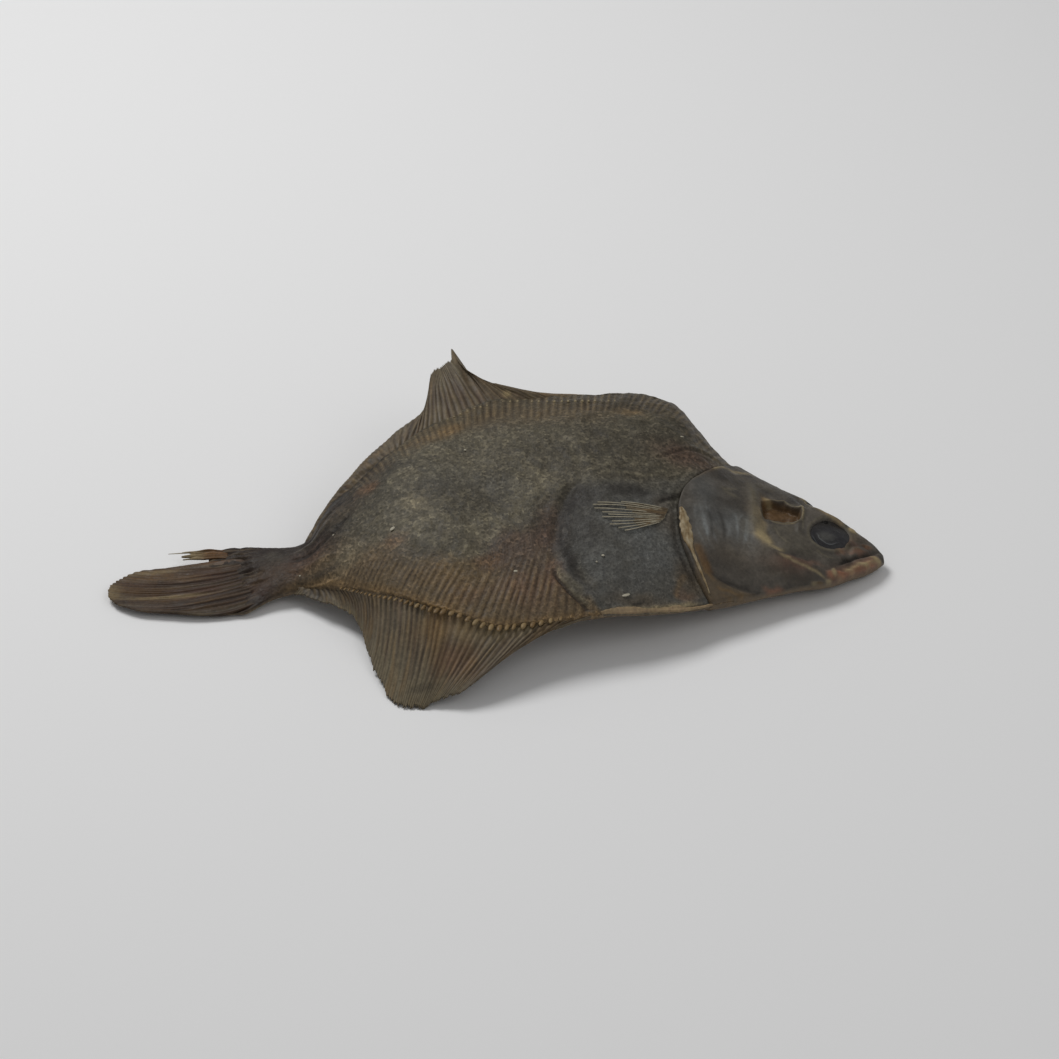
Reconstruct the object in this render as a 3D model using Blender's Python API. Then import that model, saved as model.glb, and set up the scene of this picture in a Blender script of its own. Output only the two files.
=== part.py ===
"""A dried plaice: one stiff flatfish, eyed side up, warped as it dried.

The head points to +X, the dorsal edge to +Y and the eyed side to +Z. The origin
is under the middle of the fish, on the surface that it rests on. The fish is one
solid, lofted through cross-sections from the tip of the tail fin to the snout.
Each section runs from the edge of the anal fin, over the body, to the edge of
the dorsal fin. Tables are in millimetres; the mesh is in metres.
"""

import bpy
import numpy as np

NAME = "dried_plaice"
MM = 0.001

# Stations along the fish: start, end and number of steps of each stretch.
STRETCHES = (
    (-141.0, -72.5, 15),
    (-72.5, 60.0, 31),
    (60.0, 141.0, 34),
)
FIN_STEPS = 3
BODY_STEPS = 24

# Lower edge of tail, body and head, under the anal fin: x, y, height.
LOWER_EDGE = (
    (-141.0, -10.5, 0.6),
    (-137.0, -16.0, 0.6),
    (-129.0, -21.0, 0.6),
    (-115.0, -24.6, 0.8),
    (-93.0, -24.7, 2.0),
    (-80.0, -19.5, 4.5),
    (-72.0, -18.3, 6.0),
    (-64.0, -22.0, 9.5),
    (-55.0, -29.4, 14.0),
    (-47.0, -37.0, 18.0),
    (-37.0, -44.3, 21.0),
    (-20.0, -55.3, 22.0),
    (-3.0, -61.2, 18.5),
    (15.0, -60.0, 18.3),
    (33.0, -57.2, 17.6),
    (55.0, -53.2, 14.4),
    (73.0, -47.2, 11.0),
    (92.0, -41.2, 9.5),
    (108.0, -36.0, 8.2),
    (118.0, -33.4, 6.8),
    (127.0, -28.6, 5.6),
    (136.0, -23.4, 4.6),
    (141.0, -19.0, 4.0),
)

# Upper edge of tail, body and head, under the dorsal fin: x, y, height.
UPPER_EDGE = (
    (-141.0, -7.5, 0.6),
    (-137.0, -2.5, 0.6),
    (-129.0, 3.3, 0.8),
    (-115.0, 5.1, 1.2),
    (-107.0, 6.5, 2.4),
    (-100.0, 9.8, 4.0),
    (-92.0, 9.0, 5.0),
    (-82.0, 6.3, 6.0),
    (-73.0, 4.9, 7.0),
    (-67.0, 5.8, 9.0),
    (-63.0, 9.8, 14.0),
    (-58.0, 15.0, 18.5),
    (-51.0, 18.0, 22.0),
    (-46.0, 21.5, 24.5),
    (-36.0, 28.8, 29.0),
    (-22.0, 40.0, 31.5),
    (-3.0, 51.2, 32.5),
    (10.0, 54.0, 33.0),
    (29.0, 55.0, 33.0),
    (45.0, 56.5, 31.5),
    (60.0, 57.5, 30.0),
    (72.0, 55.5, 26.5),
    (82.0, 47.5, 17.5),
    (92.0, 36.0, 9.5),
    (100.0, 27.0, 9.0),
    (106.0, 20.5, 9.5),
    (116.0, 11.5, 9.5),
    (122.0, 4.5, 8.5),
    (129.0, -0.7, 7.0),
    (135.0, -7.0, 6.0),
    (141.0, -15.5, 4.5),
)

# Outer edge of the anal fin, which hangs to the ground at its highest ray: x, y, height.
ANAL_FIN_EDGE = (
    (-76.0, -19.6, 5.0),
    (-70.0, -21.5, 6.0),
    (-62.0, -28.5, 7.0),
    (-54.0, -34.6, 8.0),
    (-50.0, -45.3, 5.0),
    (-47.0, -61.0, 2.2),
    (-43.0, -72.5, 1.0),
    (-38.0, -79.5, 0.5),
    (-34.0, -81.0, 0.5),
    (-27.0, -80.6, 2.0),
    (-20.0, -80.6, 5.0),
    (-13.0, -78.0, 8.5),
    (-3.0, -71.5, 12.0),
    (8.0, -63.6, 15.0),
    (16.0, -61.8, 16.5),
    (30.0, -59.0, 17.0),
)

# Outer edge of the dorsal fin, raised at the back and folded down in front: x, y, height.
DORSAL_FIN_EDGE = (
    (-72.0, 5.5, 7.4),
    (-66.0, 7.5, 10.0),
    (-60.0, 15.5, 18.0),
    (-51.0, 20.5, 23.0),
    (-41.0, 30.6, 28.0),
    (-32.0, 41.4, 31.0),
    (-24.0, 51.5, 34.0),
    (-20.0, 66.5, 36.5),
    (-15.0, 71.5, 38.0),
    (-11.0, 74.0, 38.5),
    (-8.4, 81.0, 39.0),
    (-5.5, 70.0, 39.0),
    (-1.0, 63.0, 38.0),
    (7.0, 59.5, 36.5),
    (18.0, 61.0, 31.0),
    (30.0, 64.5, 26.5),
    (45.0, 67.0, 21.0),
    (60.0, 68.0, 16.0),
    (72.0, 65.0, 11.0),
    (82.0, 55.5, 7.0),
    (92.0, 41.5, 5.0),
    (100.0, 29.5, 7.5),
)

# Along the fish: how far the middle layer arches above the line between the two
# edges, and half the thickness above it and below it.
ARCH_AND_HALVES = (
    (-141.0, 0.0, 0.6, 0.6),
    (-100.0, 0.0, 0.9, 0.9),
    (-88.0, 0.2, 2.0, 2.0),
    (-72.0, 0.8, 3.6, 3.2),
    (-55.0, 1.6, 4.2, 3.8),
    (-36.0, 3.0, 4.6, 4.4),
    (-10.0, 4.5, 5.2, 5.0),
    (16.0, 6.0, 5.6, 6.0),
    (40.0, 7.0, 6.2, 8.0),
    (62.0, 5.0, 6.8, 12.0),
    (80.0, 3.0, 8.0, 15.0),
    (95.0, 2.0, 8.6, 12.0),
    (110.0, 1.0, 7.6, 10.0),
    (122.0, 0.4, 6.0, 7.5),
    (133.0, 0.0, 4.2, 5.2),
    (141.0, 0.0, 2.6, 3.0),
)

EDGE_HALF = 0.9
FIN_HALF = 0.5
FIN_RIM = 1.2
LEAST_THICKNESS = 0.8
# Over which lengths a fin grows out of the rim, measured from its first and its last point.
FIN_RISE = (-4.0, 2.0)
FIN_FALL = (-2.0, 6.0)
SECTION_POWER = 3.2
SECTION_FULLNESS = 0.85
ARCH_POWER = 2.2
SHOULDER_X = 70.0
SHOULDER_SPREAD = 26.0
SHOULDER_SKEW = 0.45

# The gill opening: x where the cover's edge lies, at each y, and the cover's step.
GILL_EDGE = (
    (-47.0, 73.0),
    (-41.0, 70.0),
    (-33.0, 67.0),
    (-24.0, 65.0),
    (-12.0, 65.5),
    (-4.0, 68.0),
    (7.0, 76.0),
    (18.0, 85.0),
    (34.0, 96.0),
)
GILL_STEP = 1.4
GILL_STEP_LENGTH = 3.0
# Where the cover's lift runs out: forward of its edge, and in y near its two ends.
COVER_FORWARD = (4.0, 22.0)
COVER_LOW_END = (-46.0, -40.0)
COVER_HIGH_END = (18.0, 32.0)

# Round swellings and hollows of the eyed side: x, y, radius along x, radius along y, height.
SWELLINGS = (
    (44.0, -24.0, 21.0, 22.0, 1.6),
    (82.0, -17.0, 15.0, 22.0, 2.0),
    (119.0, -3.0, 10.0, 3.0, 1.6),
)
HOLLOWS = (
    (121.0, -12.0, 6.5, 6.0, -3.0),
    (117.0, 5.0, 5.5, 5.0, -1.6),
    (105.0, -4.0, 6.8, 5.6, -4.0),
    (96.0, -16.0, 3.0, 12.0, -0.9),
)

BUMP_POWER = 1.5

SKIN_COLOUR = (0.080, 0.071, 0.055, 1.0)
SKIN_ROUGHNESS = 0.6


def clear_scene():
    """Remove whatever the scene holds."""
    for item in list(bpy.data.objects):
        bpy.data.objects.remove(item, do_unlink=True)


def tangents(x, y):
    """Slopes at the points of a curve, level where it turns, so that it never overshoots."""
    run = np.diff(x)
    slope = np.diff(y) / run
    before, after = slope[:-1], slope[1:]
    weight_a = 2 * run[1:] + run[:-1]
    weight_b = run[1:] + 2 * run[:-1]
    same_way = before * after > 0
    safe_before = np.where(same_way, before, 1.0)
    safe_after = np.where(same_way, after, 1.0)
    mean = (weight_a + weight_b) / (weight_a / safe_before + weight_b / safe_after)
    inner = np.where(same_way, mean, 0.0)
    return np.concatenate([slope[:1], inner, slope[-1:]])


def smooth(table, column, at):
    """A table's column at the places given, on one smooth curve through its points."""
    points = np.array(table)
    x, y = points[:, 0], points[:, column]
    m = tangents(x, y)
    at = np.clip(at, x[0], x[-1])
    k = np.clip(np.searchsorted(x, at) - 1, 0, len(x) - 2)
    run = x[k + 1] - x[k]
    t = (at - x[k]) / run
    start = (1 + 2 * t) * (1 - t) ** 2 * y[k] + t * (1 - t) ** 2 * run * m[k]
    end = t * t * (3 - 2 * t) * y[k + 1] + t * t * (t - 1) * run * m[k + 1]
    return start + end


def fade(at, start, end):
    """0 before start, 1 past end, and a smooth rise between them."""
    t = np.clip((at - start) / (end - start), 0, 1)
    return t * t * (3 - 2 * t)


def bump(x, y, spot):
    """A rounded swelling, or a hollow where the height is negative."""
    middle_x, middle_y, radius_x, radius_y, height = spot
    away = ((x - middle_x) / radius_x) ** 2 + ((y - middle_y) / radius_y) ** 2
    return height * np.exp(-(away**BUMP_POWER))


def fin_edge(x, table, edge_y, edge_z, side):
    """The outer edge of a fin, or a narrow rim of the body where there is no fin."""
    y = smooth(table, 1, x)
    z = smooth(table, 2, x)
    rim_y = edge_y + side * FIN_RIM
    first, last = table[0][0], table[-1][0]
    rise = fade(x, first + FIN_RISE[0], first + FIN_RISE[1])
    fall = fade(x, last + FIN_FALL[0], last + FIN_FALL[1])
    present = rise * (1 - fall)
    y = rim_y + (y - rim_y) * present
    z = edge_z + (z - edge_z) * present
    return (np.minimum(y, rim_y) if side < 0 else np.maximum(y, rim_y)), z


def section_profile(t, power):
    """How full a section is across: 0 at both edges and 1 in the middle."""
    return 1 - np.abs(2 * t - 1) ** power


def body_surfaces(x, across):
    """Height of the eyed side and of the blind side over the body's grid."""
    low_y, low_z = (smooth(LOWER_EDGE, k, x)[:, None] for k in (1, 2))
    high_y, high_z = (smooth(UPPER_EDGE, k, x)[:, None] for k in (1, 2))
    arch, above, below = (smooth(ARCH_AND_HALVES, k, x)[:, None] for k in (1, 2, 3))
    t = across[None, :]
    y = low_y + (high_y - low_y) * t
    nearness = np.exp(-(((x - SHOULDER_X) / SHOULDER_SPREAD) ** 2))[:, None]
    skewed = t ** (1 + SHOULDER_SKEW * nearness)
    middle = low_z + (high_z - low_z) * t + arch * section_profile(skewed, ARCH_POWER)
    full = section_profile(t, SECTION_POWER) ** SECTION_FULLNESS
    edge = np.minimum(EDGE_HALF, above)
    top = middle + edge + (above - edge) * full
    bottom = middle - edge - (below - edge) * full
    return y, top + relief(x[:, None] + 0 * y, y), bottom


def relief(x, y):
    """What stands out of the eyed side: belly, gill cover, brow, sockets and hanging hole."""
    height = sum(bump(x, y, spot) for spot in SWELLINGS + HOLLOWS)
    behind = x - smooth(GILL_EDGE, 1, y)
    cover = fade(behind, -GILL_STEP_LENGTH, 0.0) * (1 - fade(behind, *COVER_FORWARD))
    inside = fade(y, *COVER_LOW_END) * (1 - fade(y, *COVER_HIGH_END))
    return height + GILL_STEP * cover * inside


def fin_columns(x, y, z, inner_y, inner_top, inner_bottom):
    """Columns of a fin from its outer edge inwards, meeting the body's first column."""
    share = np.arange(FIN_STEPS) / FIN_STEPS
    column_y = y[:, None] + (inner_y - y)[:, None] * share
    top = (z + FIN_HALF)[:, None] * (1 - share) + inner_top[:, None] * share
    bottom = (z - FIN_HALF)[:, None] * (1 - share) + inner_bottom[:, None] * share
    return column_y, top, bottom


def whole_grid():
    """x, y, top and bottom of the fish, a row for each station and a column for each line along it."""
    x = np.concatenate([np.linspace(a, b, n, endpoint=False) for a, b, n in STRETCHES])
    x = np.append(x, STRETCHES[-1][1])
    y, top, bottom = body_surfaces(x, np.linspace(0, 1, BODY_STEPS + 1))
    low_y, low_z = fin_edge(x, ANAL_FIN_EDGE, y[:, 0], (top + bottom)[:, 0] / 2, -1)
    high_y, high_z = fin_edge(x, DORSAL_FIN_EDGE, y[:, -1], (top + bottom)[:, -1] / 2, 1)
    anal = fin_columns(x, low_y, low_z, y[:, 0], top[:, 0], bottom[:, 0])
    dorsal = fin_columns(x, high_y, high_z, y[:, -1], top[:, -1], bottom[:, -1])
    joined = [
        np.concatenate([fin_a, body, fin_d[:, ::-1]], axis=1)
        for fin_a, body, fin_d in zip(anal, (y, top, bottom), dorsal)
    ]
    y, top, bottom = joined
    bottom = np.maximum(bottom, 0.0)
    top = np.maximum(top, bottom + LEAST_THICKNESS)
    return x[:, None] + 0 * y, y, top, bottom


def shell_faces(rows, columns):
    """Quads of a closed shell over two grids of the same size, the second one below the first."""
    below = rows * columns

    def at(i, j):
        return i * columns + j

    faces = []
    for i in range(rows - 1):
        for j in range(columns - 1):
            corners = (at(i, j), at(i + 1, j), at(i + 1, j + 1), at(i, j + 1))
            faces.append(corners)
            faces.append(tuple(c + below for c in reversed(corners)))
    rim = [at(i, 0) for i in range(rows)]
    rim += [at(rows - 1, j) for j in range(1, columns)]
    rim += [at(i, columns - 1) for i in range(rows - 2, -1, -1)]
    rim += [at(0, j) for j in range(columns - 2, 0, -1)]
    for a, b in zip(rim, rim[1:] + rim[:1]):
        faces.append((b, a, a + below, b + below))
    return faces


def make_skin():
    """The dark, matt skin of the fish."""
    material = bpy.data.materials.new("dried_skin")
    material.use_nodes = True
    shader = material.node_tree.nodes["Principled BSDF"]
    shader.inputs["Base Color"].default_value = SKIN_COLOUR
    shader.inputs["Roughness"].default_value = SKIN_ROUGHNESS
    shader.inputs["Metallic"].default_value = 0.0
    return material


def make_fish(collection):
    """The whole fish as one closed solid."""
    x, y, top, bottom = whole_grid()
    rows, columns = x.shape
    upper = np.stack([x, y, top], axis=2).reshape(-1, 3)
    lower = np.stack([x, y, bottom], axis=2).reshape(-1, 3)
    points = np.concatenate([upper, lower]) * MM
    mesh = bpy.data.meshes.new(NAME)
    mesh.from_pydata(points.tolist(), [], shell_faces(rows, columns))
    mesh.validate()
    mesh.shade_smooth()
    mesh.materials.append(make_skin())
    fish = bpy.data.objects.new(NAME, mesh)
    collection.objects.link(fish)
    return fish


def main():
    clear_scene()
    collection = bpy.data.collections.new("Dried plaice")
    bpy.context.scene.collection.children.link(collection)
    make_fish(collection)


main()
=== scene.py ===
"""The looks of the dried plaice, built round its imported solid.

The snout is at +X, the dorsal edge at +Y and the eyed side at +Z. Tables and
sizes are in millimetres, in the frame's axes; meshes are in metres.
"""

import itertools
from collections import namedtuple
from functools import partial
from types import SimpleNamespace

import bpy
import numpy as np
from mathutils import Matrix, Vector


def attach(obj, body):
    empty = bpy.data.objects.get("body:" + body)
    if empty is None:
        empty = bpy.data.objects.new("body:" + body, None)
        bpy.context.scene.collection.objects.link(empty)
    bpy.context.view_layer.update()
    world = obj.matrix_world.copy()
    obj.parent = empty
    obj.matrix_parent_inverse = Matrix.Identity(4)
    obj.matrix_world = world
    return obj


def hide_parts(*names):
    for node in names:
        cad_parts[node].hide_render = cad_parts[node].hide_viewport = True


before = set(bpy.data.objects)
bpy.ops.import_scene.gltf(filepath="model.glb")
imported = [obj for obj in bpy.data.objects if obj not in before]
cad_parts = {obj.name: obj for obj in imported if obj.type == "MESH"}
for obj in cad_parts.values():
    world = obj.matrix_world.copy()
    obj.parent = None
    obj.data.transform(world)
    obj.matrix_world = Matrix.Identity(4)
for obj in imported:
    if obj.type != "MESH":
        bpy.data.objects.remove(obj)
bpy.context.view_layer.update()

MM = 0.001
NODE = "dried_plaice"

# ---------------------------------------------------------------- the body's form

# Lower edge of tail, body and head, under the anal fin: x, y, height.
LOWER_EDGE = (
    (-141, -10.5, 0.6), (-137, -16, 0.6), (-129, -21, 0.6), (-115, -24.6, 0.8), (-93, -24.7, 2),
    (-80, -19.5, 4.5), (-72, -18.3, 6), (-64, -22, 9.5), (-55, -29.4, 14), (-47, -37, 18),
    (-37, -44.3, 21), (-20, -55.3, 22), (-3, -61.2, 18.5), (15, -60, 18.3), (33, -57.2, 17.6),
    (55, -53.2, 14.4), (73, -47.2, 11), (92, -41.2, 9.5), (108, -36, 8.2), (118, -33.4, 6.8),
    (127, -28.6, 5.6), (136, -23.4, 4.6), (141, -19, 4),
)

# Upper edge of tail, body and head, under the dorsal fin: x, y, height.
UPPER_EDGE = (
    (-141, -7.5, 0.6), (-137, -2.5, 0.6), (-129, 3.3, 0.8), (-115, 5.1, 1.2), (-107, 6.5, 2.4),
    (-100, 9.8, 4), (-92, 9, 5), (-82, 6.3, 6), (-73, 4.9, 7), (-67, 5.8, 9), (-63, 9.8, 14),
    (-58, 15, 18.5), (-51, 18, 22), (-46, 21.5, 24.5), (-36, 28.8, 29), (-22, 40, 31.5),
    (-3, 51.2, 32.5), (10, 54, 33), (29, 55, 33), (45, 56.5, 31.5), (60, 57.5, 30),
    (72, 55.5, 26.5), (82, 47.5, 17.5), (92, 36, 9.5), (100, 27, 9), (106, 20.5, 9.5),
    (116, 11.5, 9.5), (122, 4.5, 8.5), (129, -0.7, 7), (135, -7, 6), (141, -15.5, 4.5),
)

# Along the fish: how far the middle layer arches above the line between the two
# edges, and half the thickness above it and below it.
ARCH_AND_HALVES = (
    (-141, 0, 0.6, 0.6), (-100, 0, 0.9, 0.9), (-88, 0.2, 2, 2), (-72, 0.8, 3.6, 3.2),
    (-55, 1.6, 4.2, 3.8), (-36, 3, 4.6, 4.4), (-10, 4.5, 5.2, 5), (16, 6, 5.6, 6), (40, 7, 6.2, 8),
    (62, 5, 6.8, 12), (80, 3, 8, 15), (95, 2, 8.6, 12), (110, 1, 7.6, 10), (122, 0.4, 6, 7.5),
    (133, 0, 4.2, 5.2), (141, 0, 2.6, 3),
)

EDGE_HALF = 0.9
SECTION_POWER = 3.2
ARCH_POWER = 2.2
SHOULDER_X = 70.0
SHOULDER_SPREAD = 26.0
SHOULDER_SKEW = 0.45

# The gill opening: x where the cover's edge lies, at each y.
GILL_EDGE = (
    (-47, 73), (-41, 70), (-33, 67), (-24, 65), (-12, 65.5), (-4, 68), (7, 76), (18, 85), (34, 96),
)

# Round swellings of the eyed side: x, y, radius along x, radius along y, height.
SWELLINGS = (
    (44, -24, 21, 22, 1.6), (82, -17, 15, 22, 2), (119, -3, 10, 3, 1.6),
)


# ---------------------------------------------------------------- curves and noise


def tangents(x, y):
    """Slopes at the points of a curve, level where it turns, so that it never overshoots."""
    run = np.diff(x)
    slope = np.diff(y) / run
    before, after = slope[:-1], slope[1:]
    weight_a = 2 * run[1:] + run[:-1]
    weight_b = run[1:] + 2 * run[:-1]
    same_way = before * after > 0
    safe_before = np.where(same_way, before, 1.0)
    safe_after = np.where(same_way, after, 1.0)
    mean = (weight_a + weight_b) / (weight_a / safe_before + weight_b / safe_after)
    inner = np.where(same_way, mean, 0.0)
    return np.concatenate([slope[:1], inner, slope[-1:]])


def smooth(table, column, at):
    """A table's column at the places given, on one smooth curve through its points."""
    points = np.array(table)
    x, y = points[:, 0], points[:, column]
    m = tangents(x, y)
    at = np.clip(at, x[0], x[-1])
    k = np.clip(np.searchsorted(x, at) - 1, 0, len(x) - 2)
    run = x[k + 1] - x[k]
    t = (at - x[k]) / run
    start = (1 + 2 * t) * (1 - t) ** 2 * y[k] + t * (1 - t) ** 2 * run * m[k]
    end = t * t * (3 - 2 * t) * y[k + 1] + t * t * (t - 1) * run * m[k + 1]
    return start + end


def fade(at, start, end):
    """0 before start, 1 past end, and a smooth rise between them."""
    t = np.clip((at - start) / (end - start), 0, 1)
    return t * t * (3 - 2 * t)


def window(at, start, end, soft):
    """1 between start and end and 0 outside, softened over the length given."""
    return fade(at, start - soft, start + soft) * (1 - fade(at, end - soft, end + soft))


BUMP_POWER = 1.5


def bump(x, y, spot):
    """A rounded swelling, or a hollow where the height is negative."""
    middle_x, middle_y, radius_x, radius_y, height = spot
    away = ((x - middle_x) / radius_x) ** 2 + ((y - middle_y) / radius_y) ** 2
    return height * np.exp(-(away**BUMP_POWER))


def ridge(at, middle, width):
    """1 at the middle, with a smooth fall over the width on both sides of it."""
    return np.exp(-(((at - middle) / width) ** 2))


# The noise: points in a lattice, how it is turned, how far off zero it is read, and cells.
LATTICE = 128
LATTICE_COS = 0.8
LATTICE_SIN = 0.6
FAR_OFF = 640
CELLS = 64


def hills(x, y, size, seed):
    """Smooth random hills from -1 to 1, about the size given from one to the next."""
    lattice = np.random.default_rng(seed).uniform(-1, 1, (LATTICE, LATTICE))
    u = (LATTICE_COS * x - LATTICE_SIN * y) / size + FAR_OFF
    v = (LATTICE_SIN * x + LATTICE_COS * y) / size + FAR_OFF
    i, j = np.floor(u).astype(int), np.floor(v).astype(int)
    a, b = fade(u - i, 0, 1), fade(v - j, 0, 1)
    i, next_i, j, next_j = (k % LATTICE for k in (i, i + 1, j, j + 1))
    low = lattice[i, j] * (1 - a) + lattice[next_i, j] * a
    high = lattice[i, next_j] * (1 - a) + lattice[next_i, next_j] * a
    return low * (1 - b) + high * b


def rough(x, y, size, seed, octaves=3):
    """Hills with smaller hills on them."""
    return sum(hills(x, y, size / 2**k, seed + k) / 2**k for k in range(octaves))


def cells(x, y, size, seed):
    """Distance to the nearest of many strewn points, in cell sizes, and that point's random value."""
    rng = np.random.default_rng(seed)
    strewn = rng.uniform(0, 1, (CELLS, CELLS, 2))
    value = rng.uniform(0, 1, (CELLS, CELLS))
    u, v = x / size + FAR_OFF, y / size + FAR_OFF
    i, j = np.floor(u).astype(int), np.floor(v).astype(int)
    nearest = np.full(np.shape(u), np.inf)
    chosen = np.zeros(np.shape(u))
    for di, dj in itertools.product((-1, 0, 1), repeat=2):
        p, q = (i + di) % CELLS, (j + dj) % CELLS
        away = np.hypot(i + di + strewn[p, q, 0] - u, j + dj + strewn[p, q, 1] - v)
        closer = away < nearest
        nearest = np.where(closer, away, nearest)
        chosen = np.where(closer, value[p, q], chosen)
    return nearest, chosen


def through(points, steps=5):
    """A smooth line through the points, as a row of closer points."""
    p = np.array(points, float)
    p = np.concatenate([[2 * p[0] - p[1]], p, [2 * p[-1] - p[-2]]])
    u = np.linspace(0, 1, steps, endpoint=False)[:, None]
    line = []
    for a, b, c, d in zip(p, p[1:], p[2:], p[3:]):
        bend = (2 * a - 5 * b + 4 * c - d) * u**2 + (3 * b - a - 3 * c + d) * u**3
        line.append(0.5 * (2 * b + (c - a) * u + bend))
    return np.concatenate([*line, p[-2:-1]])


def beside(x, y, line):
    """Distance from a line, and how far along it the nearest place on it is."""
    nearest = np.full(np.shape(x), 1e9)
    along = np.zeros(np.shape(x))
    passed = 0.0
    for a, b in zip(line, line[1:]):
        run = b - a
        length = np.hypot(*run)
        t = np.clip(((x - a[0]) * run[0] + (y - a[1]) * run[1]) / length**2, 0, 1)
        away = np.hypot(x - a[0] - t * run[0], y - a[1] - t * run[1])
        closer = away < nearest
        nearest = np.where(closer, away, nearest)
        along = np.where(closer, passed + t * length, along)
        passed += length
    return nearest, along


def stroke(x, y, points, width):
    """1 on a line drawn through the points, fading over the width beside it and at its ends."""
    line = through(points)
    low, high = line.min(0) - 3 * width, line.max(0) + 3 * width
    near = (x > low[0]) & (x < high[0]) & (y > low[1]) & (y < high[1])
    drawn = np.zeros(np.shape(x))
    away, along = beside(x[near], y[near], line)
    length = np.hypot(*np.diff(line, axis=0).T).sum()
    ends = fade(along, 0, 0.2 * length) * (1 - fade(along, 0.8 * length, length))
    drawn[near] = ridge(away, 0, width) * ends
    return drawn


def arc(base, middle, tip, v):
    """Places on the curve through base, middle and tip, at shares from 0 to 1 along it."""
    return base * (1 - v) * (1 - 2 * v) + middle * 4 * v * (1 - v) + tip * v * (2 * v - 1)


def outside(x, y, corners):
    """Distance outside a closed outline, negative inside it."""
    ring = np.array(corners + corners[:1], float)
    within = np.zeros(np.shape(x), bool)
    for a, b in zip(ring, ring[1:]):
        crosses = (a[1] > y) != (b[1] > y)
        rise = b[1] - a[1] if b[1] != a[1] else 1.0
        within ^= crosses & (x < (b[0] - a[0]) * (y - a[1]) / rise + a[0])
    away, _ = beside(x, y, ring)
    return np.where(within, -away, away)


# ---------------------------------------------------------------- the body's surfaces


def section_profile(t, power):
    """How full a section is across: 0 at both edges and 1 in the middle."""
    return 1 - np.abs(2 * t - 1) ** power


SECTION_FULLNESS = 0.85


def body_surfaces(x, t):
    """y, and the heights of the eyed side and of the blind side, at places along and shares across."""
    low_y, low_z = (smooth(LOWER_EDGE, k, x) for k in (1, 2))
    high_y, high_z = (smooth(UPPER_EDGE, k, x) for k in (1, 2))
    arch, above, below = (smooth(ARCH_AND_HALVES, k, x) for k in (1, 2, 3))
    y = low_y + (high_y - low_y) * t
    skewed = t ** (1 + SHOULDER_SKEW * ridge(x, SHOULDER_X, SHOULDER_SPREAD))
    middle = low_z + (high_z - low_z) * t + arch * section_profile(skewed, ARCH_POWER)
    full = section_profile(t, SECTION_POWER) ** SECTION_FULLNESS
    edge = np.minimum(EDGE_HALF, above)
    top = middle + edge + (above - edge) * full
    bottom = middle - edge - (below - edge) * full
    return y, top + sum(bump(x, y, spot) for spot in SWELLINGS), np.maximum(bottom, 0.0)


def eyed_side(x, y):
    """Height of the eyed side at places in plan."""
    low_y, high_y = smooth(LOWER_EDGE, 1, x), smooth(UPPER_EDGE, 1, x)
    return body_surfaces(x, np.clip((y - low_y) / (high_y - low_y), 0, 1))[1]


# Where the gill opening is searched for: from x, to x, places.
GILL_SEARCH = (60, 104, 200)


def gill_x(t):
    """Where the gill cover's edge crosses each line along the body."""
    x = np.linspace(*GILL_SEARCH)[:, None]
    past = x - smooth(GILL_EDGE, 1, body_surfaces(x, t)[0])
    return np.array([[np.interp(0, past[:, k], x[:, 0]) for k in range(t.shape[1])]])


def squeezed(top, bottom, middle, share):
    """The two sides drawn together towards the middle, to the share given of their distance."""
    return middle + (top - middle) * share, middle + (bottom - middle) * share


def folded(top, x, y, folds):
    """The surface raised, or sunk where the height is negative, along each fold."""
    for height, width, points in folds:
        top = top + height * stroke(x, y, points, width)
    return top


# ---------------------------------------------------------------- meshes


def make_mesh(name, points, faces):
    """A mesh from points in millimetres and from faces, given as arrays with a row for each face."""
    mesh = bpy.data.meshes.new(name)
    mesh.vertices.add(len(points))
    mesh.vertices.foreach_set("co", (points * MM).astype(np.float32).ravel())
    corners = np.concatenate([f.ravel() for f in faces]).astype(np.int32)
    sizes = np.concatenate([np.full(len(f), f.shape[1]) for f in faces])
    starts = np.concatenate([[0], np.cumsum(sizes)[:-1]]).astype(np.int32)
    mesh.loops.add(len(corners))
    mesh.loops.foreach_set("vertex_index", corners)
    mesh.polygons.add(len(sizes))
    mesh.polygons.foreach_set("loop_start", starts)
    mesh.update(calc_edges=True)
    mesh.validate()
    mesh.shade_smooth()
    piece = bpy.data.objects.new(name, mesh)
    bpy.context.scene.collection.objects.link(piece)
    return piece


def grid_faces(rows, columns, first=0):
    """Quads over a grid of points, facing up where rows run to +X and columns to +Y."""
    at = first + np.arange(rows * columns).reshape(rows, columns)
    quads = (at[:-1, :-1], at[1:, :-1], at[1:, 1:], at[:-1, 1:])
    return np.stack(quads, axis=2).reshape(-1, 4)


def rim_of(rows, columns, first=0):
    """The points round a grid, from its first corner along its first column and back."""
    at = first + np.arange(rows * columns).reshape(rows, columns)
    return np.concatenate((at[:-1, 0], at[-1, :-1], at[:0:-1, -1], at[0, :0:-1]))


def looks_down(grid):
    """Whether the faces of a grid of points would face down."""
    return np.cross(grid[1, 0] - grid[0, 0], grid[0, 1] - grid[0, 0])[2] < 0


def ring_quads(rings, around):
    """Quads between rings of points that follow each other."""
    at = np.arange(rings * around).reshape(rings, around)
    after = np.roll(at, -1, axis=1)
    return np.stack([at[:-1], at[1:], after[1:], after[:-1]], 2).reshape(-1, 4)


def fan(first, around, pole, backwards=False):
    """Triangles that close a ring of points onto a pole."""
    k = np.arange(around)
    ends = [first + k, first + (k + 1) % around]
    return np.stack([*(ends[::-1] if backwards else ends), np.full(around, pole)], 1)


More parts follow.
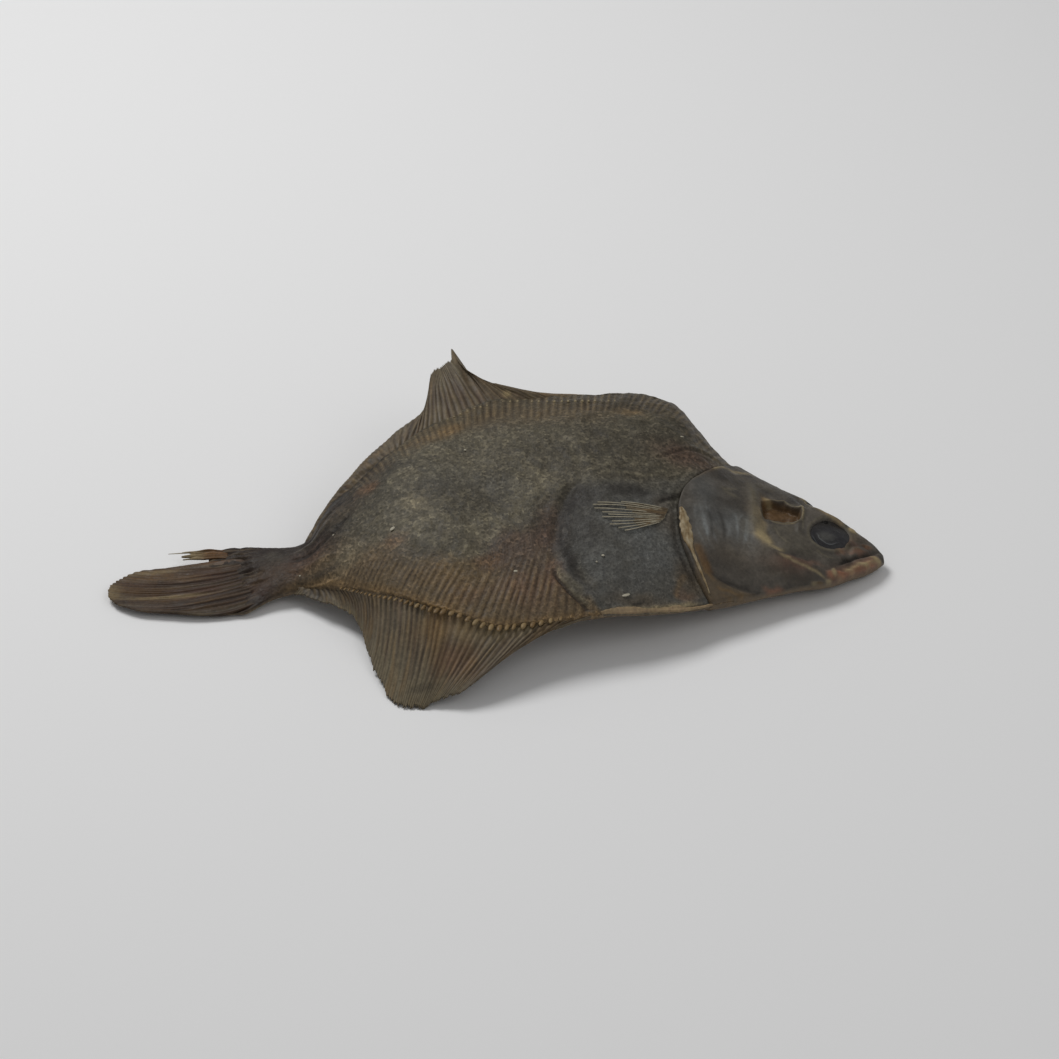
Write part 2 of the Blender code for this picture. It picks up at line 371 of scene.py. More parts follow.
def shell(name, top, bottom):
    """A closed piece between an upper and a lower grid, where the lower one may be twice as coarse."""
    rows, columns = top.shape[:2]
    points = np.concatenate([top.reshape(-1, 3), bottom.reshape(-1, 3)])
    faces = [grid_faces(rows, columns)]
    faces.append(grid_faces(*bottom.shape[:2], rows * columns)[:, ::-1])
    upper = rim_of(rows, columns)
    lower = rim_of(*bottom.shape[:2], rows * columns)
    ahead = np.roll(lower, -1)
    if len(upper) == len(lower):
        walls = (np.roll(upper, -1), upper, lower, ahead)
    else:
        walls = (np.roll(upper, -2)[::2], upper[1::2], upper[::2], lower, ahead)
    faces.append(np.stack(walls, axis=1))
    return make_mesh(name, points, faces)


def paint(piece, fields):
    """Stores each named field, a value for every point, for the piece's material to read."""
    for name, values in fields.items():
        kept = values if name == "phase" else np.clip(values, 0, 1)
        layer = piece.data.attributes.new(name, "FLOAT", "POINT")
        layer.data.foreach_set("value", kept.astype(np.float32).ravel())


def paint_sides(piece, top_fields, bottom_fields):
    """Stores fields that differ between a shell's upper and lower grids."""
    upper = next(iter(top_fields.values())).size
    joined = {}
    for name in [*top_fields, *bottom_fields]:
        values = np.zeros(len(piece.data.vertices))
        values[:upper] = np.ravel(top_fields.get(name, 0))
        values[upper:] = np.ravel(bottom_fields.get(name, 0))
        joined[name] = values
    paint(piece, joined)


def finish_piece(piece, material, replaces=False):
    """Gives a piece its material and its body."""
    piece.data.materials.append(material)
    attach(piece, "root")
    if replaces:
        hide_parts(NODE)
    return piece


def ellipsoid(middle, radii, turn, around=12, up=8):
    """Points, quads and triangles of a small closed ellipsoid, turned in plan."""
    theta = np.linspace(0, 2 * np.pi, around, endpoint=False)[None, :]
    phi = np.linspace(-np.pi / 2, np.pi / 2, up + 1)[1:-1, None]
    wide, high = np.cos(phi), np.sin(phi)
    ring = np.stack([wide * np.cos(theta), wide * np.sin(theta), high + 0 * theta], 2)
    poles = np.array([[0, 0, -1.0], [0, 0, 1.0]])
    x, y, z = (np.concatenate([ring.reshape(-1, 3), poles]) * np.array(radii)).T
    c, s = np.cos(turn), np.sin(turn)
    points = np.stack([x * c - y * s, x * s + y * c, z], 1) + np.array(middle)
    rings = up - 1
    count = rings * around
    caps = fan(0, around, count, backwards=True), fan(count - around, around, count + 1)
    return points, ring_quads(rings, around)[:, [0, 3, 2, 1]], np.concatenate(caps)


def join_shapes(name, shapes):
    """One piece from many small closed shapes, and which shape each point belongs to."""
    sizes = [len(points) for points, _, _ in shapes]
    firsts = np.cumsum([0, *sizes[:-1]])
    points = np.concatenate([shape[0] for shape in shapes])
    faces = [np.concatenate([s[kind] + first for s, first in zip(shapes, firsts)]) for kind in (1, 2)]
    return make_mesh(name, points, faces), np.repeat(np.arange(len(shapes)), sizes)


def on_skin(points, lift):
    """Points in plan set on the eyed side, with the lift given."""
    p = np.array(points, float)
    return np.stack([p[..., 0], p[..., 1], eyed_side(p[..., 0], p[..., 1]) + lift], -1)


def beads(name, places, turns, radii, material, fields):
    """Small rounded bodies, one at each place."""
    shapes = [ellipsoid(place, size, turn) for place, size, turn in zip(places, radii, turns)]
    piece, owner = join_shapes(name, shapes)
    paint(piece, {field: values[owner] for field, values in fields.items()})
    return finish_piece(piece, material)


RIBBON_STEPS = 14
RIBBON_COLUMNS = 15
RIBBON_RAISE = 0.1
RIBBON_SINK = 0.3


def ribbon(name, points, lift, thick, seed, material, fields):
    """A flat strip through points given as x, y and half-width, with an uneven rounded top."""
    line = through(points, RIBBON_STEPS)
    run = np.gradient(line[:, :2], axis=0)
    run /= np.hypot(*run.T)[:, None]
    across = np.linspace(-1, 1, RIBBON_COLUMNS)[None, :]
    uneven = 1 + 0.3 * hills(line[:, 0], line[:, 1], 1.3, seed)[:, None]
    reach = across * line[:, 2:3] * uneven
    x = line[:, 0:1] - run[:, 1:2] * reach
    y = line[:, 1:2] + run[:, 0:1] * reach
    ground = eyed_side(x, y) + lift
    dome = np.sqrt(np.clip(1 - across**2, 0, 1))
    top = ground + thick * dome * (1 + 0.5 * rough(x, y, 1.6, seed + 1)) + RIBBON_RAISE
    upper, under = (np.stack([x, y, z], 2) for z in (top, ground - RIBBON_SINK))
    if looks_down(upper):
        upper, under = upper[::-1], under[::-1]
    piece = shell(name, upper, under)
    streaks = 0.5 + 0.5 * hills(upper[..., 0] * 3, upper[..., 1], 1.5, seed + 2)
    made = {field: strength * (1 - vary * streaks) for field, strength, vary in fields}
    paint_sides(piece, made, made)
    return finish_piece(piece, material)


# ---------------------------------------------------------------- materials


def screen(r, g, b):
    """A linear colour from one on the screen's scale of 0 to 255."""
    c = np.array([r, g, b]) / 255
    linear = np.where(c <= 0.04045, c / 12.92, ((c + 0.055) / 1.055) ** 2.4)
    return (*linear.tolist(), 1.0)


def add_node(tree, kind, inputs=None, **settings):
    """A node with its settings, and with its inputs linked or set."""
    node = tree.nodes.new(kind)
    for name, value in settings.items():
        setattr(node, name, value)
    for name, value in (inputs or {}).items():
        if isinstance(value, bpy.types.NodeSocket):
            tree.links.new(value, node.inputs[name])
        else:
            node.inputs[name].default_value = value
    return node


def mixed(tree, factor, a, b, blend="MIX"):
    """Colour a turned into colour b by the factor."""
    node = add_node(tree, "ShaderNodeMix", data_type="RGBA", blend_type=blend)
    for index, value in ((0, factor), (6, a), (7, b)):
        if isinstance(value, bpy.types.NodeSocket):
            tree.links.new(value, node.inputs[index])
        else:
            node.inputs[index].default_value = value
    return node.outputs[2]


def calculated(tree, operation, a, b=0.0):
    """The result of one sum on two values."""
    return add_node(tree, "ShaderNodeMath", {0: a, 1: b}, operation=operation).outputs[0]


def clamped(tree, value):
    """The value kept between 0 and 1."""
    return add_node(tree, "ShaderNodeClamp", {"Value": value}).outputs[0]


def ramp(tree, factor, stops):
    """A colour ramp through the stops: place and colour."""
    node = add_node(tree, "ShaderNodeValToRGB", {"Fac": factor})
    band = node.color_ramp
    while len(band.elements) < len(stops):
        band.elements.new(0.5)
    for element, (place, colour) in zip(band.elements, stops):
        element.position = place
        element.color = colour
    return node.outputs["Color"]


def grey_ramp(tree, factor, stops):
    """A ramp of greys through the stops: place and brightness."""
    return ramp(tree, factor, [(place, (light, light, light, 1.0)) for place, light in stops])


def noise(tree, where, scale, detail=3.0, roughness=0.6):
    """Noise in the piece's own space; scale is in features for each metre."""
    inputs = {"Vector": where, "Scale": scale, "Detail": detail, "Roughness": roughness}
    return add_node(tree, "ShaderNodeTexNoise", inputs).outputs["Fac"]


# Fields that the skin's pieces carry, in the order in which they colour it: name, colour, strength.
LAYERS = (
    ("blind", screen(112, 98, 80), 0.9),
    ("tail", screen(37, 27, 22), 0.95),
    ("belly", screen(78, 77, 73), 0.9),
    ("tan", screen(100, 84, 62), 0.8),
    # blue: the belly's and the tail's own blue-grey, and a painted sheen on the gill cover and in the
    # belly's middle
    ("blue", screen(96, 98, 97), 0.8),
    # painted_sheen: a painted highlight, streaks of sheen on the gill cover and on the crests of the eyes'
    # wrinkles
    ("painted_sheen", screen(124, 127, 126), 0.8),
    ("red", screen(84, 58, 48), 0.8),
    ("salmon", screen(136, 96, 74), 0.9),
    ("pale", screen(106, 99, 81), 0.8),
    ("amber", screen(120, 94, 56), 0.8),
    ("rust", screen(126, 82, 46), 0.85),
    # dark: the skin's own dark marks, and also painted shade in some hollows, beside the gill cover's edge
    # and above the pectoral fin
    ("dark", screen(36, 32, 28), 0.85),
    ("brown", screen(88, 66, 42), 0.95),
    ("cream", screen(156, 140, 106), 0.9),
    ("white", screen(172, 166, 148), 1.0),
)
STREAKS_PER_RAY = 3.0
STREAKS_PER_METRE = 45.0
STREAK_DARK = (0.52, 0.48, 0.44, 1.0)
STREAK_LIGHT = (1.55, 1.46, 1.30, 1.0)
RIB_GAP = screen(50, 40, 29)
RIB_RAY = screen(118, 103, 78)
TAIL_RAY = screen(86, 67, 46)


def field_of(tree, name):
    """A field that a piece carries, for its material."""
    return add_node(tree, "ShaderNodeAttribute", attribute_name=name).outputs["Fac"]


RIB_WANDER = 0.16
MOTTLE_SCALE = 70.0
PATCH_RATIO = 4.5
GRAIN_RATIO = 2.2
BROAD_SHARE = 0.62
PATCHY_SHARE = 0.38
TONE_PLACES = (0.38, 0.5, 0.62)
GLOSS_SPREAD = 0.12


def rib_node(tree, unevenness):
    """Ribs from 0 in a gap to 1 on a rib, from a piece's phase; forked ones have twice as many."""
    add, times = (partial(calculated, tree, operation) for operation in ("ADD", "MULTIPLY"))
    shifted = add(field_of(tree, "phase"), times(unevenness, RIB_WANDER))
    waves = []
    for turns, height in ((2 * np.pi, 0.5), (4 * np.pi, -0.5)):
        wave = calculated(tree, "COSINE", times(shifted, turns))
        waves.append(add(times(wave, height), 0.5))
    split = calculated(tree, "SUBTRACT", waves[1], waves[0])
    return add(waves[0], times(split, field_of(tree, "forked")))


def streak_node(tree, where):
    """Fine uneven streaks that run along the rays."""
    across = calculated(tree, "MULTIPLY", field_of(tree, "phase"), STREAKS_PER_RAY)
    place = add_node(tree, "ShaderNodeSeparateXYZ", {"Vector": where})
    along = calculated(tree, "ADD", place.outputs["X"], place.outputs["Y"])
    along = calculated(tree, "MULTIPLY", along, STREAKS_PER_METRE)
    plane = add_node(tree, "ShaderNodeCombineXYZ", {"X": across, "Y": along})
    return noise(tree, plane.outputs[0], 1.0, 3.0, 0.6)


def layered(tree, colour, uneven):
    """The ground colour under the layers that the piece's fields draw."""
    for field, paint_colour, strength in LAYERS:
        share = calculated(tree, "MULTIPLY", field_of(tree, field), strength)
        share = calculated(tree, "MULTIPLY", share, uneven)
        colour = mixed(tree, clamped(tree, share), colour, paint_colour)
    return colour


def with_rays(tree, colour, rib, ribbed, streaks, ray):
    """The colour with dark gaps, rays of their own colour and streaks along them."""
    times = partial(calculated, tree, "MULTIPLY")
    narrow = calculated(tree, "POWER", calculated(tree, "SUBTRACT", 1.0, rib), 3.0)
    on_ray = times(times(rib, rib), times(ribbed, 0.7))
    colour = mixed(tree, clamped(tree, times(narrow, ribbed)), colour, RIB_GAP)
    colour = mixed(tree, clamped(tree, on_ray), colour, ray)
    tints = ramp(tree, streaks, ((0.3, STREAK_DARK), (0.7, STREAK_LIGHT)))
    streaked = mixed(tree, 1.0, colour, tints, "MULTIPLY")
    return mixed(tree, clamped(tree, ribbed), colour, streaked)


def skin_material(
    name, tones, scale=800.0, speckle=0.28, contrast=0.22, ray=RIB_RAY, roughness=0.55, relief=0.2
):
    """Dried skin: mottled ground tones, the layers that its fields draw, ribs, scales and a fine grain."""
    material = bpy.data.materials.new(name)
    material.use_nodes = True
    tree = material.node_tree
    shader = tree.nodes["Principled BSDF"]
    add, times = (partial(calculated, tree, operation) for operation in ("ADD", "MULTIPLY"))
    where = add_node(tree, "ShaderNodeTexCoord").outputs["Object"]
    broad = noise(tree, where, MOTTLE_SCALE, 4.0, 0.6)
    patchy = noise(tree, where, MOTTLE_SCALE * PATCH_RATIO, 4.0, 0.65)
    fine = noise(tree, where, scale * GRAIN_RATIO, 2.0, 0.7)
    inputs = {"Vector": where, "Scale": scale, "Randomness": 1.0}
    scales = add_node(tree, "ShaderNodeTexVoronoi", inputs)
    picked = add_node(tree, "ShaderNodeSeparateColor", {"Color": scales.outputs["Color"]}).outputs["Red"]

    tone = add(times(broad, BROAD_SHARE), times(patchy, PATCHY_SHARE))
    uneven = add(patchy, 0.5)
    colour = layered(tree, ramp(tree, tone, tuple(zip(TONE_PLACES, tones))), uneven)
    rib = rib_node(tree, patchy)
    ribbed = times(field_of(tree, "ribbed"), times(uneven, 0.8))
    colour = with_rays(tree, colour, rib, ribbed, streak_node(tree, where), ray)

    lights = ((0.0, 1 - 0.7 * speckle), (0.55, 1.0), (0.85, 1 + speckle), (1.0, 1 + 2.4 * speckle))
    spotted = mixed(tree, 1.0, colour, grey_ramp(tree, picked, lights), "MULTIPLY")
    colour = mixed(tree, clamped(tree, field_of(tree, "speckled")), colour, spotted)
    grains = add(times(scales.outputs["Distance"], 0.5), times(fine, 0.7))
    shades = grey_ramp(tree, grains, ((0.35, 1 - contrast), (0.8, 1 + contrast)))
    colour = mixed(tree, 1.0, colour, shades, "MULTIPLY")
    tree.links.new(colour, shader.inputs["Base Color"])

    gloss = {"Value": patchy, "From Min": 0.3, "From Max": 0.7}
    gloss |= {"To Min": roughness - GLOSS_SPREAD, "To Max": roughness + GLOSS_SPREAD}
    tree.links.new(add_node(tree, "ShaderNodeMapRange", gloss).outputs[0], shader.inputs["Roughness"])
    shader.inputs["Specular IOR Level"].default_value = 0.25
    height = add(grains, times(rib, times(ribbed, 1.2)))
    bumped = add_node(tree, "ShaderNodeBump", {"Height": height, "Distance": relief * MM, "Strength": 1.0})
    tree.links.new(bumped.outputs["Normal"], shader.inputs["Normal"])
    return material


# ---------------------------------------------------------------- the trunk

TRUNK_BACK = -104.0
TAIL_COUNT = 12.5
TAIL_SHARE = 0.86
TAIL_SINK = 0.35
TRUNK_ROWS = 340
TRUNK_COLUMNS = 220
TUCK = 9.0

# How wide the striped bands are beside the lower and the upper edge: x, width.
LOWER_BAND = (
    (-62, 5), (-49, 8), (-36, 11), (-25, 14), (-15, 17), (-4, 21), (7, 25), (16, 28), (30, 20),
    (45, 8),
)
UPPER_BAND = (
    (-62, 5), (-40, 9), (-25, 12), (-8, 17), (5, 21), (25, 23), (50, 22), (70, 18),
)
# How far the stripes run forward for each step to +Y: x of their foot on the edge, lean.
LOWER_LEAN = (
    (-60, 0.8), (-30, 0.7), (-22, 0.65), (-15, 0.54), (-9, 0.51), (-2, 0.41), (12, 0.28), (40, 0.1),
)
UPPER_LEAN = (
    (-60, -0.3), (-30, -0.1), (-12, -0.02), (0, 0.06), (10, 0.1), (40, 0.15), (60, 0.3), (80, 0.45),
)
# How far apart the fin rays stand along the edges: x, pitch.
LOWER_PITCH = (
    (-92, 1.9), (-60, 1.9), (-48, 2), (-35, 2.3), (-22, 2.7), (0, 2.9), (15, 3.3), (100, 3.4),
)
UPPER_PITCH = (
    (-92, 2.2), (-40, 2.4), (-10, 2.8), (20, 2.8), (60, 2.6), (100, 2.6),
)
PHASE_JITTER = 0.18

BELLY = (
    (34, -3), (28, -7), (25, -12), (22, -21), (20, -29), (18.5, -37), (18.8, -44), (22, -49.5),
    (29, -54), (34, -60), (78, -52), (67, -30), (66, -19), (70, -4), (78, 8), (67, 3), (52, -1),
    (42, -1),
)

# Folds of the trunk: height, width, points.
TRUNK_FOLDS = (
    (-0.8, 0.7, ((17, -40.8), (18.5, -45.3), (20.3, -48), (22.4, -51), (25, -53), (28, -55.3),
     (32, -56.6))),
    (0.6, 1.1, ((17, -44.5), (18.6, -48.6), (22, -52.2), (27, -55.6))),
    (0.8, 1.4, ((21, -41), (23, -45.5), (26.4, -49), (31, -52.4), (37, -54))),
    (-0.6, 1.6, ((25, -39), (27.5, -44), (32, -48))),
    (-1.1, 2.4, ((36, -3), (28, -7), (24.5, -13), (21.5, -21), (19.5, -30), (18.5, -38),
     (19, -44))),
    (-0.7, 0.7, ((55.5, -14), (58, -12.6), (62, -9.2), (66.5, -6.2), (71, -1))),
    (-0.6, 1.6, ((38.6, -13.2), (44, -11), (52, -9.4), (57, -10.8))),
    (-0.8, 0.8, ((-74, -17.4), (-71, -18), (-64, -20.6), (-55, -24.4))),
    (0.7, 1.2, ((-78, -11), (-72, -12.5), (-65, -13.4), (-56, -15))),
    (-0.7, 1, ((-78, -6.5), (-68, -7.2), (-61, -6), (-54, -2), (-49, 2))),
    (0.8, 1.2, ((-77, -3.6), (-70, -3), (-64, -0.8), (-58, 3), (-52, 7))),
    (-0.6, 1, ((-74, 0), (-67, 1), (-61, 5), (-55, 9), (-48, 14))),
    (-0.5, 1, ((-54.5, -21.5), (-52.4, -16.5), (-49, -12.5), (-44, -8.5), (-39, -5.5))),
    (0.4, 0.8, ((57, 6), (66, 13), (76, 19), (84, 21))),
    (0.4, 0.8, ((58, 10), (68, 18), (78, 23), (87, 25))),
    (-0.4, 0.8, ((58, 8), (67, 15.5), (77, 21), (86, 23))),
    (-0.5, 1.5, ((36, -3), (46, -2), (57, -1), (68, 3), (75, 7))),
)

# Tinted patches of the trunk, some of them painted shade and one a painted sheen, by field: strength, x, y,
# radius along x, radius along y.
TRUNK_PATCHES = {
    "pale": (
        (0.6, -30, -7, 5, 3.4), (0.35, -33, -10, 11, 7), (0.3, -37, -17, 10, 5),
        (0.38, -24, -22, 12, 6), (0.6, -53, -19, 5, 5), (0.35, -8, -24, 9, 5), (0.35, 5, -20, 6, 5),
        (0.45, 9, -13, 4, 5), (0.35, 16, -3, 8, 6), (0.45, -33, 7, 4, 4), (0.35, -8, 10, 18, 8),
        (0.35, 12, 22, 20, 7), (0.35, -28, 22, 10, 4), (0.4, 32, 8, 3.5, 2.6),
        (0.25, -80, -3, 5, 4), (0.3, -8, 28, 8, 4), (0.3, 57, 36, 6, 4), (0.6, -11, -33.6, 5, 3.4),
        (0.6, -18, 19, 5, 4),
    ),
    "cream": ((0.14, -29, -7, 5, 4),),
    "blue": (
        # The blue patch at 52, -30 is the belly's own blue-grey with a painted sheen on its middle.
        (0.15, -18, 4, 10, 7), (0.12, 2, -3, 9, 6), (0.5, 52, -30, 9, 14), (0.35, 33, -40, 7, 8),
        (0.4, 44, -22, 10, 6),
    ),
    "dark": (
        (0.15, -12, -9, 9, 6), (0.45, 14.5, -21, 3.6, 4.5), (0.3, 38, 13, 7, 4),
        (0.25, 30, 4, 5, 4), (0.2, 51, 13, 7, 5), (0.3, 62, 42, 14, 8), (0.3, -50, 2, 8, 5),
        # Painted shade: the dark patch at 49, -9.5 is shadow above the pectoral fin, and those at 24, -28
        # and 21.5, -28 are shade on the belly swelling's left slope.
        (0.3, 44, 1, 14, 4), (0.5, 49, -9.5, 7, 2.5), (0.3, 65, -41, 4, 7), (0.3, 24, -28, 5, 12),
        (0.45, 21.5, -28, 3.6, 13), (0.5, 50, 52, 26, 6), (0.25, 28, -12, 6, 6),
        (0.5, -57, 9, 10, 10), (0.35, -62, -5, 9, 8), (0.35, -42, 15, 10, 10),
        (0.15, -31, 25, 6, 4), (0.35, -47, -30, 13, 6), (0.2, -31, -39, 8, 4),
        (0.35, -21, -24, 8, 5), (0.25, -27, -1, 9, 5), (0.55, 29, -14, 6, 9), (0.35, 38, -11, 7, 5),
        (0.4, 32, -28, 5, 7), (0.2, 40, -18, 6, 5), (0.45, 48, 42, 15, 3.6), (0.55, 75, 32, 6, 7),
        (0.5, -82, -11, 8, 6), (0.4, -75, -4, 10, 6),
    ),
    "tail": (
        (0.6, -55, 10, 7, 6), (0.5, -44, 18, 8, 5), (0.4, -66, -3, 6, 5), (0.5, -70, -2, 14, 12),
    ),
    "red": (
        (0.5, 8, -33, 12, 9), (0.45, 18, -24, 5, 10), (0.35, 12, -50, 12, 8), (0.5, 73, 15, 14, 7),
        (0.5, -70, -9, 10, 6), (0.4, -86, -14, 5, 5), (0.4, -12, -50, 8, 4),
    ),
    "amber": (
        (0.6, -13.5, 33, 6, 5), (0.25, -24, 29, 9, 4), (0.45, 54, 37, 5, 4),
        (0.35, -12, -44, 10, 7), (0.3, -24, -40, 9, 6), (0.4, -24, -53, 10, 3),
    ),
    "rust": (
        (0.4, -45, 9, 4, 3.6), (0.25, -36, -23, 4, 3), (0.3, 64, -47, 4, 2), (0.22, -4, -38, 6, 4),
    ),
    "tan": (
        (0.6, -55, 3, 8, 4), (0.5, -44, -27, 10, 5), (0.35, 20, 36, 34, 8), (0.5, 66, -41, 5, 7),
        (0.4, 47, -52, 12, 2.4), (0.35, 60, -17, 4, 8),
    ),
    "salmon": ((0.22, 4, -48, 9, 6), (0.25, 17, -44, 4, 5)),
    "brown": ((0.25, -82, -11, 8, 6),),
}

# Tinted lines of the trunk, some of them painted shade and shadow, by field: strength, width, points.
TRUNK_LINES = {
    "dark": (
        (1, 0.7, ((17, -40.8), (17.7, -43), (18.5, -45.3), (20.3, -48), (22.4, -51), (25, -53),
         (28, -55.3), (32, -56.6))),
        # Painted shade along the belly swelling's left slope, inside its edge.
        (0.4, 1.6, ((24, -34), (25, -40), (28, -46), (33, -51))),
        (0.5, 2.4, ((36, -4), (30, -8), (26.5, -14), (24, -22), (22.6, -30), (23, -38), (26, -45),
         (31, -50))),
        (0.6, 0.7, ((55.5, -12), (59, -10.6), (63, -7.8), (66.5, -4.8), (70, -0.5))),
        (0.5, 1.6, ((58, -9.6), (61, -8.2), (64, -5.6))),
        # Painted shadow on the flank above the pectoral fin.
        (0.6, 1.8, ((38, -8.6), (44, -7.4), (50, -7), (56, -8))),
        (0.6, 1.1, ((-74, -17), (-71, -17.2), (-64, -18.6), (-58, -19.6), (-54, -21.6))),
        (0.5, 1, ((-76, -6.5), (-68, -7.2), (-61, -6), (-54, -2), (-49, 2))),
        (0.7, 1.3, ((-64, 7), (-60, 11.4), (-54, 15), (-46, 20.6), (-37, 28), (-33, 31))),
        # Painted shadow that the gill cover casts on the trunk beside its edge.
        (0.55, 1.5, ((64, -13), (62.8, -20), (62.8, -28), (65.4, -36), (69, -44))),
        (0.9, 0.6, ((43.8, -53.6), (46.5, -52.4), (49.7, -51))),
    ),
    "rust": ((0.15, 0.6, ((17.8, -43.5), (19.4, -47.6), (23.2, -52), (28.6, -56))),),
    "pale": (
        (1, 0.7, ((18.4, -41.6), (19.4, -44.4), (21.4, -47.6), (23.6, -50.4), (26.2, -52.6),
         (30.1, -54.9))),
        (0.7, 1.1, ((18.6, -39.5), (20.6, -44), (23.6, -47.5), (28.5, -51.4))),
        (0.3, 1.6, ((26, -40), (28.5, -45), (33, -49.5))),
        (0.6, 0.8, ((36, -1.5), (42, 0.5), (50, 0.5), (57, 1.5), (64, 5))),
        (0.4, 0.6, ((33, 0.5), (38, 3.5), (46, 4), (54, 5))),
        (0.5, 0.8, ((-74, -3), (-69, -2.4), (-64, -0.8), (-60, 1))),
    ),
    "cream": ((0.7, 0.8, ((33, -56.5), (40, -55.2), (51, -53.4), (62, -50.6), (72, -47.6))),),
    "tan": ((0.9, 0.9, ((60.4, -49.5), (61, -46), (62.6, -42.6), (66, -39))),),
}

# Pale rings of faded spots: x, y, radius, strength.
RINGS = (
    (36, 10, 6.5, 0.3), (-32, 6, 4.6, 0.6), (13, -2, 5, 0.4), (-5, -23, 4.4, 0.5),
    (-23, -22, 5.5, 0.5), (-25, -21, 3.2, 0.4),
)


RING_WIDTH = 1.1
RIB_RELIEF = 0.24
GRAIN_RELIEF = 0.18
TAIL_THIN = 0.12
TAIL_RAYS_FROM = -74
# The edges' lines: from x, to x, points. A ray's foot is found in rounds.
EDGE_SPAN = (-92, 100, 72)
FOOT_ROUNDS = 12

# The two edges of the body; inward is the way in from the edge along y.
LOWER = SimpleNamespace(
    edge=LOWER_EDGE, inward=1, band=LOWER_BAND, lean=LOWER_LEAN, pitch=LOWER_PITCH, seed=21
)
UPPER = SimpleNamespace(
    edge=UPPER_EDGE, inward=-1, band=UPPER_BAND, lean=UPPER_LEAN, pitch=UPPER_PITCH, seed=31
)


def edge_line(side):
    """An edge of the body in plan, as a row of close points."""
    x = np.linspace(*EDGE_SPAN)
    return np.stack([x, smooth(side.edge, 1, x)], 1)


def ray_phase(x, y, side):
    """How many fin rays stand behind each place: the ray through it is followed to its foot on the edge."""
    foot = x
    for _ in range(FOOT_ROUNDS):
        foot = x - smooth(side.lean, 1, foot) * (y - smooth(side.edge, 1, foot))
    line = edge_line(side)
    steps = np.hypot(*np.diff(line, axis=0).T)
    pitch = smooth(side.pitch, 1, (line[1:, 0] + line[:-1, 0]) / 2)
    count = np.concatenate([[0], np.cumsum(steps / pitch)])
    jitter = PHASE_JITTER * hills(foot, y / 6, 4, side.seed + 1)
    return np.interp(foot, line[:, 0], count) + jitter


def striped_band(x, y, side):
    """How deep in a striped band each place is, how many rays stand behind it and how far the edge is."""
    away, _ = beside(x, y, edge_line(side))
    width = smooth(side.band, 1, x) + 3.0 * hills(x, y, 6, side.seed)
    phase = ray_phase(x, y, side)
    strength = 0.7 + 0.3 * hills(x, y, 5, side.seed + 2)
    strength = strength + 0.3 * hills(phase * 2, y / 5, 1.3, side.seed + 3)
    inner = (1 - fade(away, 0.45 * width, width + 3)) ** 0.7
    return fade(away, 0.0, 0.8) * inner * strength, phase, away


def rib_height(phase):
    """The ribs' height from 0 in a gap to 1 on a rib."""
    return 0.5 + 0.5 * np.cos(2 * np.pi * phase)


def add_spots(fields, x, y, patches):
    """Adds tinted patches to the fields."""
    for field, spots in patches.items():
        for strength, *spot in spots:
            fields[field] = fields.get(field, 0 * x) + bump(x, y, (*spot, strength))


def add_marks(fields, x, y, patches, lines, seed):
    """Adds tinted patches and lines to the fields, with uneven outlines."""
    u = x + 1.2 * rough(x, y, 5, seed)
    v = y + 1.2 * rough(x, y, 5, seed + 9)
    add_spots(fields, u, v, patches)
    u = x + 0.25 * hills(x, y, 2, seed + 5)
    v = y + 0.25 * hills(x, y, 2, seed + 6)
    for field, strokes in lines.items():
        for strength, width, points in strokes:
            fields[field] = fields.get(field, 0 * x) + strength * stroke(u, v, points, width)


def granules(x, y, size, seed):
    """Low rounded grains that cover the skin."""
    away, value = cells(x, y, size, seed)
    return (0.55 - away) * (0.6 + 0.8 * value)


def belly_cover(x, y):
    """How far outside the belly's dark skin each place lies, and its share of that skin, softer above."""
    out = outside(x + 1.4 * rough(x, y, 6, 3), y + 1.8 * rough(x, y, 7, 4), BELLY)
    crisp = 1 - fade(y, -42, -30)
    upward = np.maximum(fade(y, -20, -4), 0.6 * (1 - crisp) * (1 - fade(x, 24, 40)))
    return out, 1 - fade(out, -3.0 - 7.0 * upward, 1.2 + 3.0 * upward)


def trunk_zones(x, y, t):
    """Where the trunk is striped, belly, body or tail, and how many fin rays stand behind each place."""
    lower, lower_phase, lower_away = striped_band(x, y, LOWER)
    upper, upper_phase, upper_away = striped_band(x, y, UPPER)
    belly_out, belly = belly_cover(x, y)
    lower = lower * (1 - belly) * fade(belly_out, 1.0, 3.0) * fade(x, -62, -50)
    upper = upper * fade(x, -56, -42)
    phase = np.where(lower_away < upper_away, lower_phase, upper_phase)
    shreds = hills(x / 3, y, 1.3, 13)
    return SimpleNamespace(
        lower=lower,
        upper=upper,
        bands=np.maximum(lower, upper),
        phase=np.where(x < TAIL_RAYS_FROM, TAIL_COUNT * t / TAIL_SHARE, phase),
        edge_away=lower_away,
        belly=belly,
        body=fade(x, -88, -60),
        tail=1 - fade(x + 3 * rough(x, y, 7, 14), -82, -50),
        rayed=1 - fade(x + 4 * shreds + 4 * hills(x, y, 4, 15), -99, -82),
        shreds=shreds,
    )


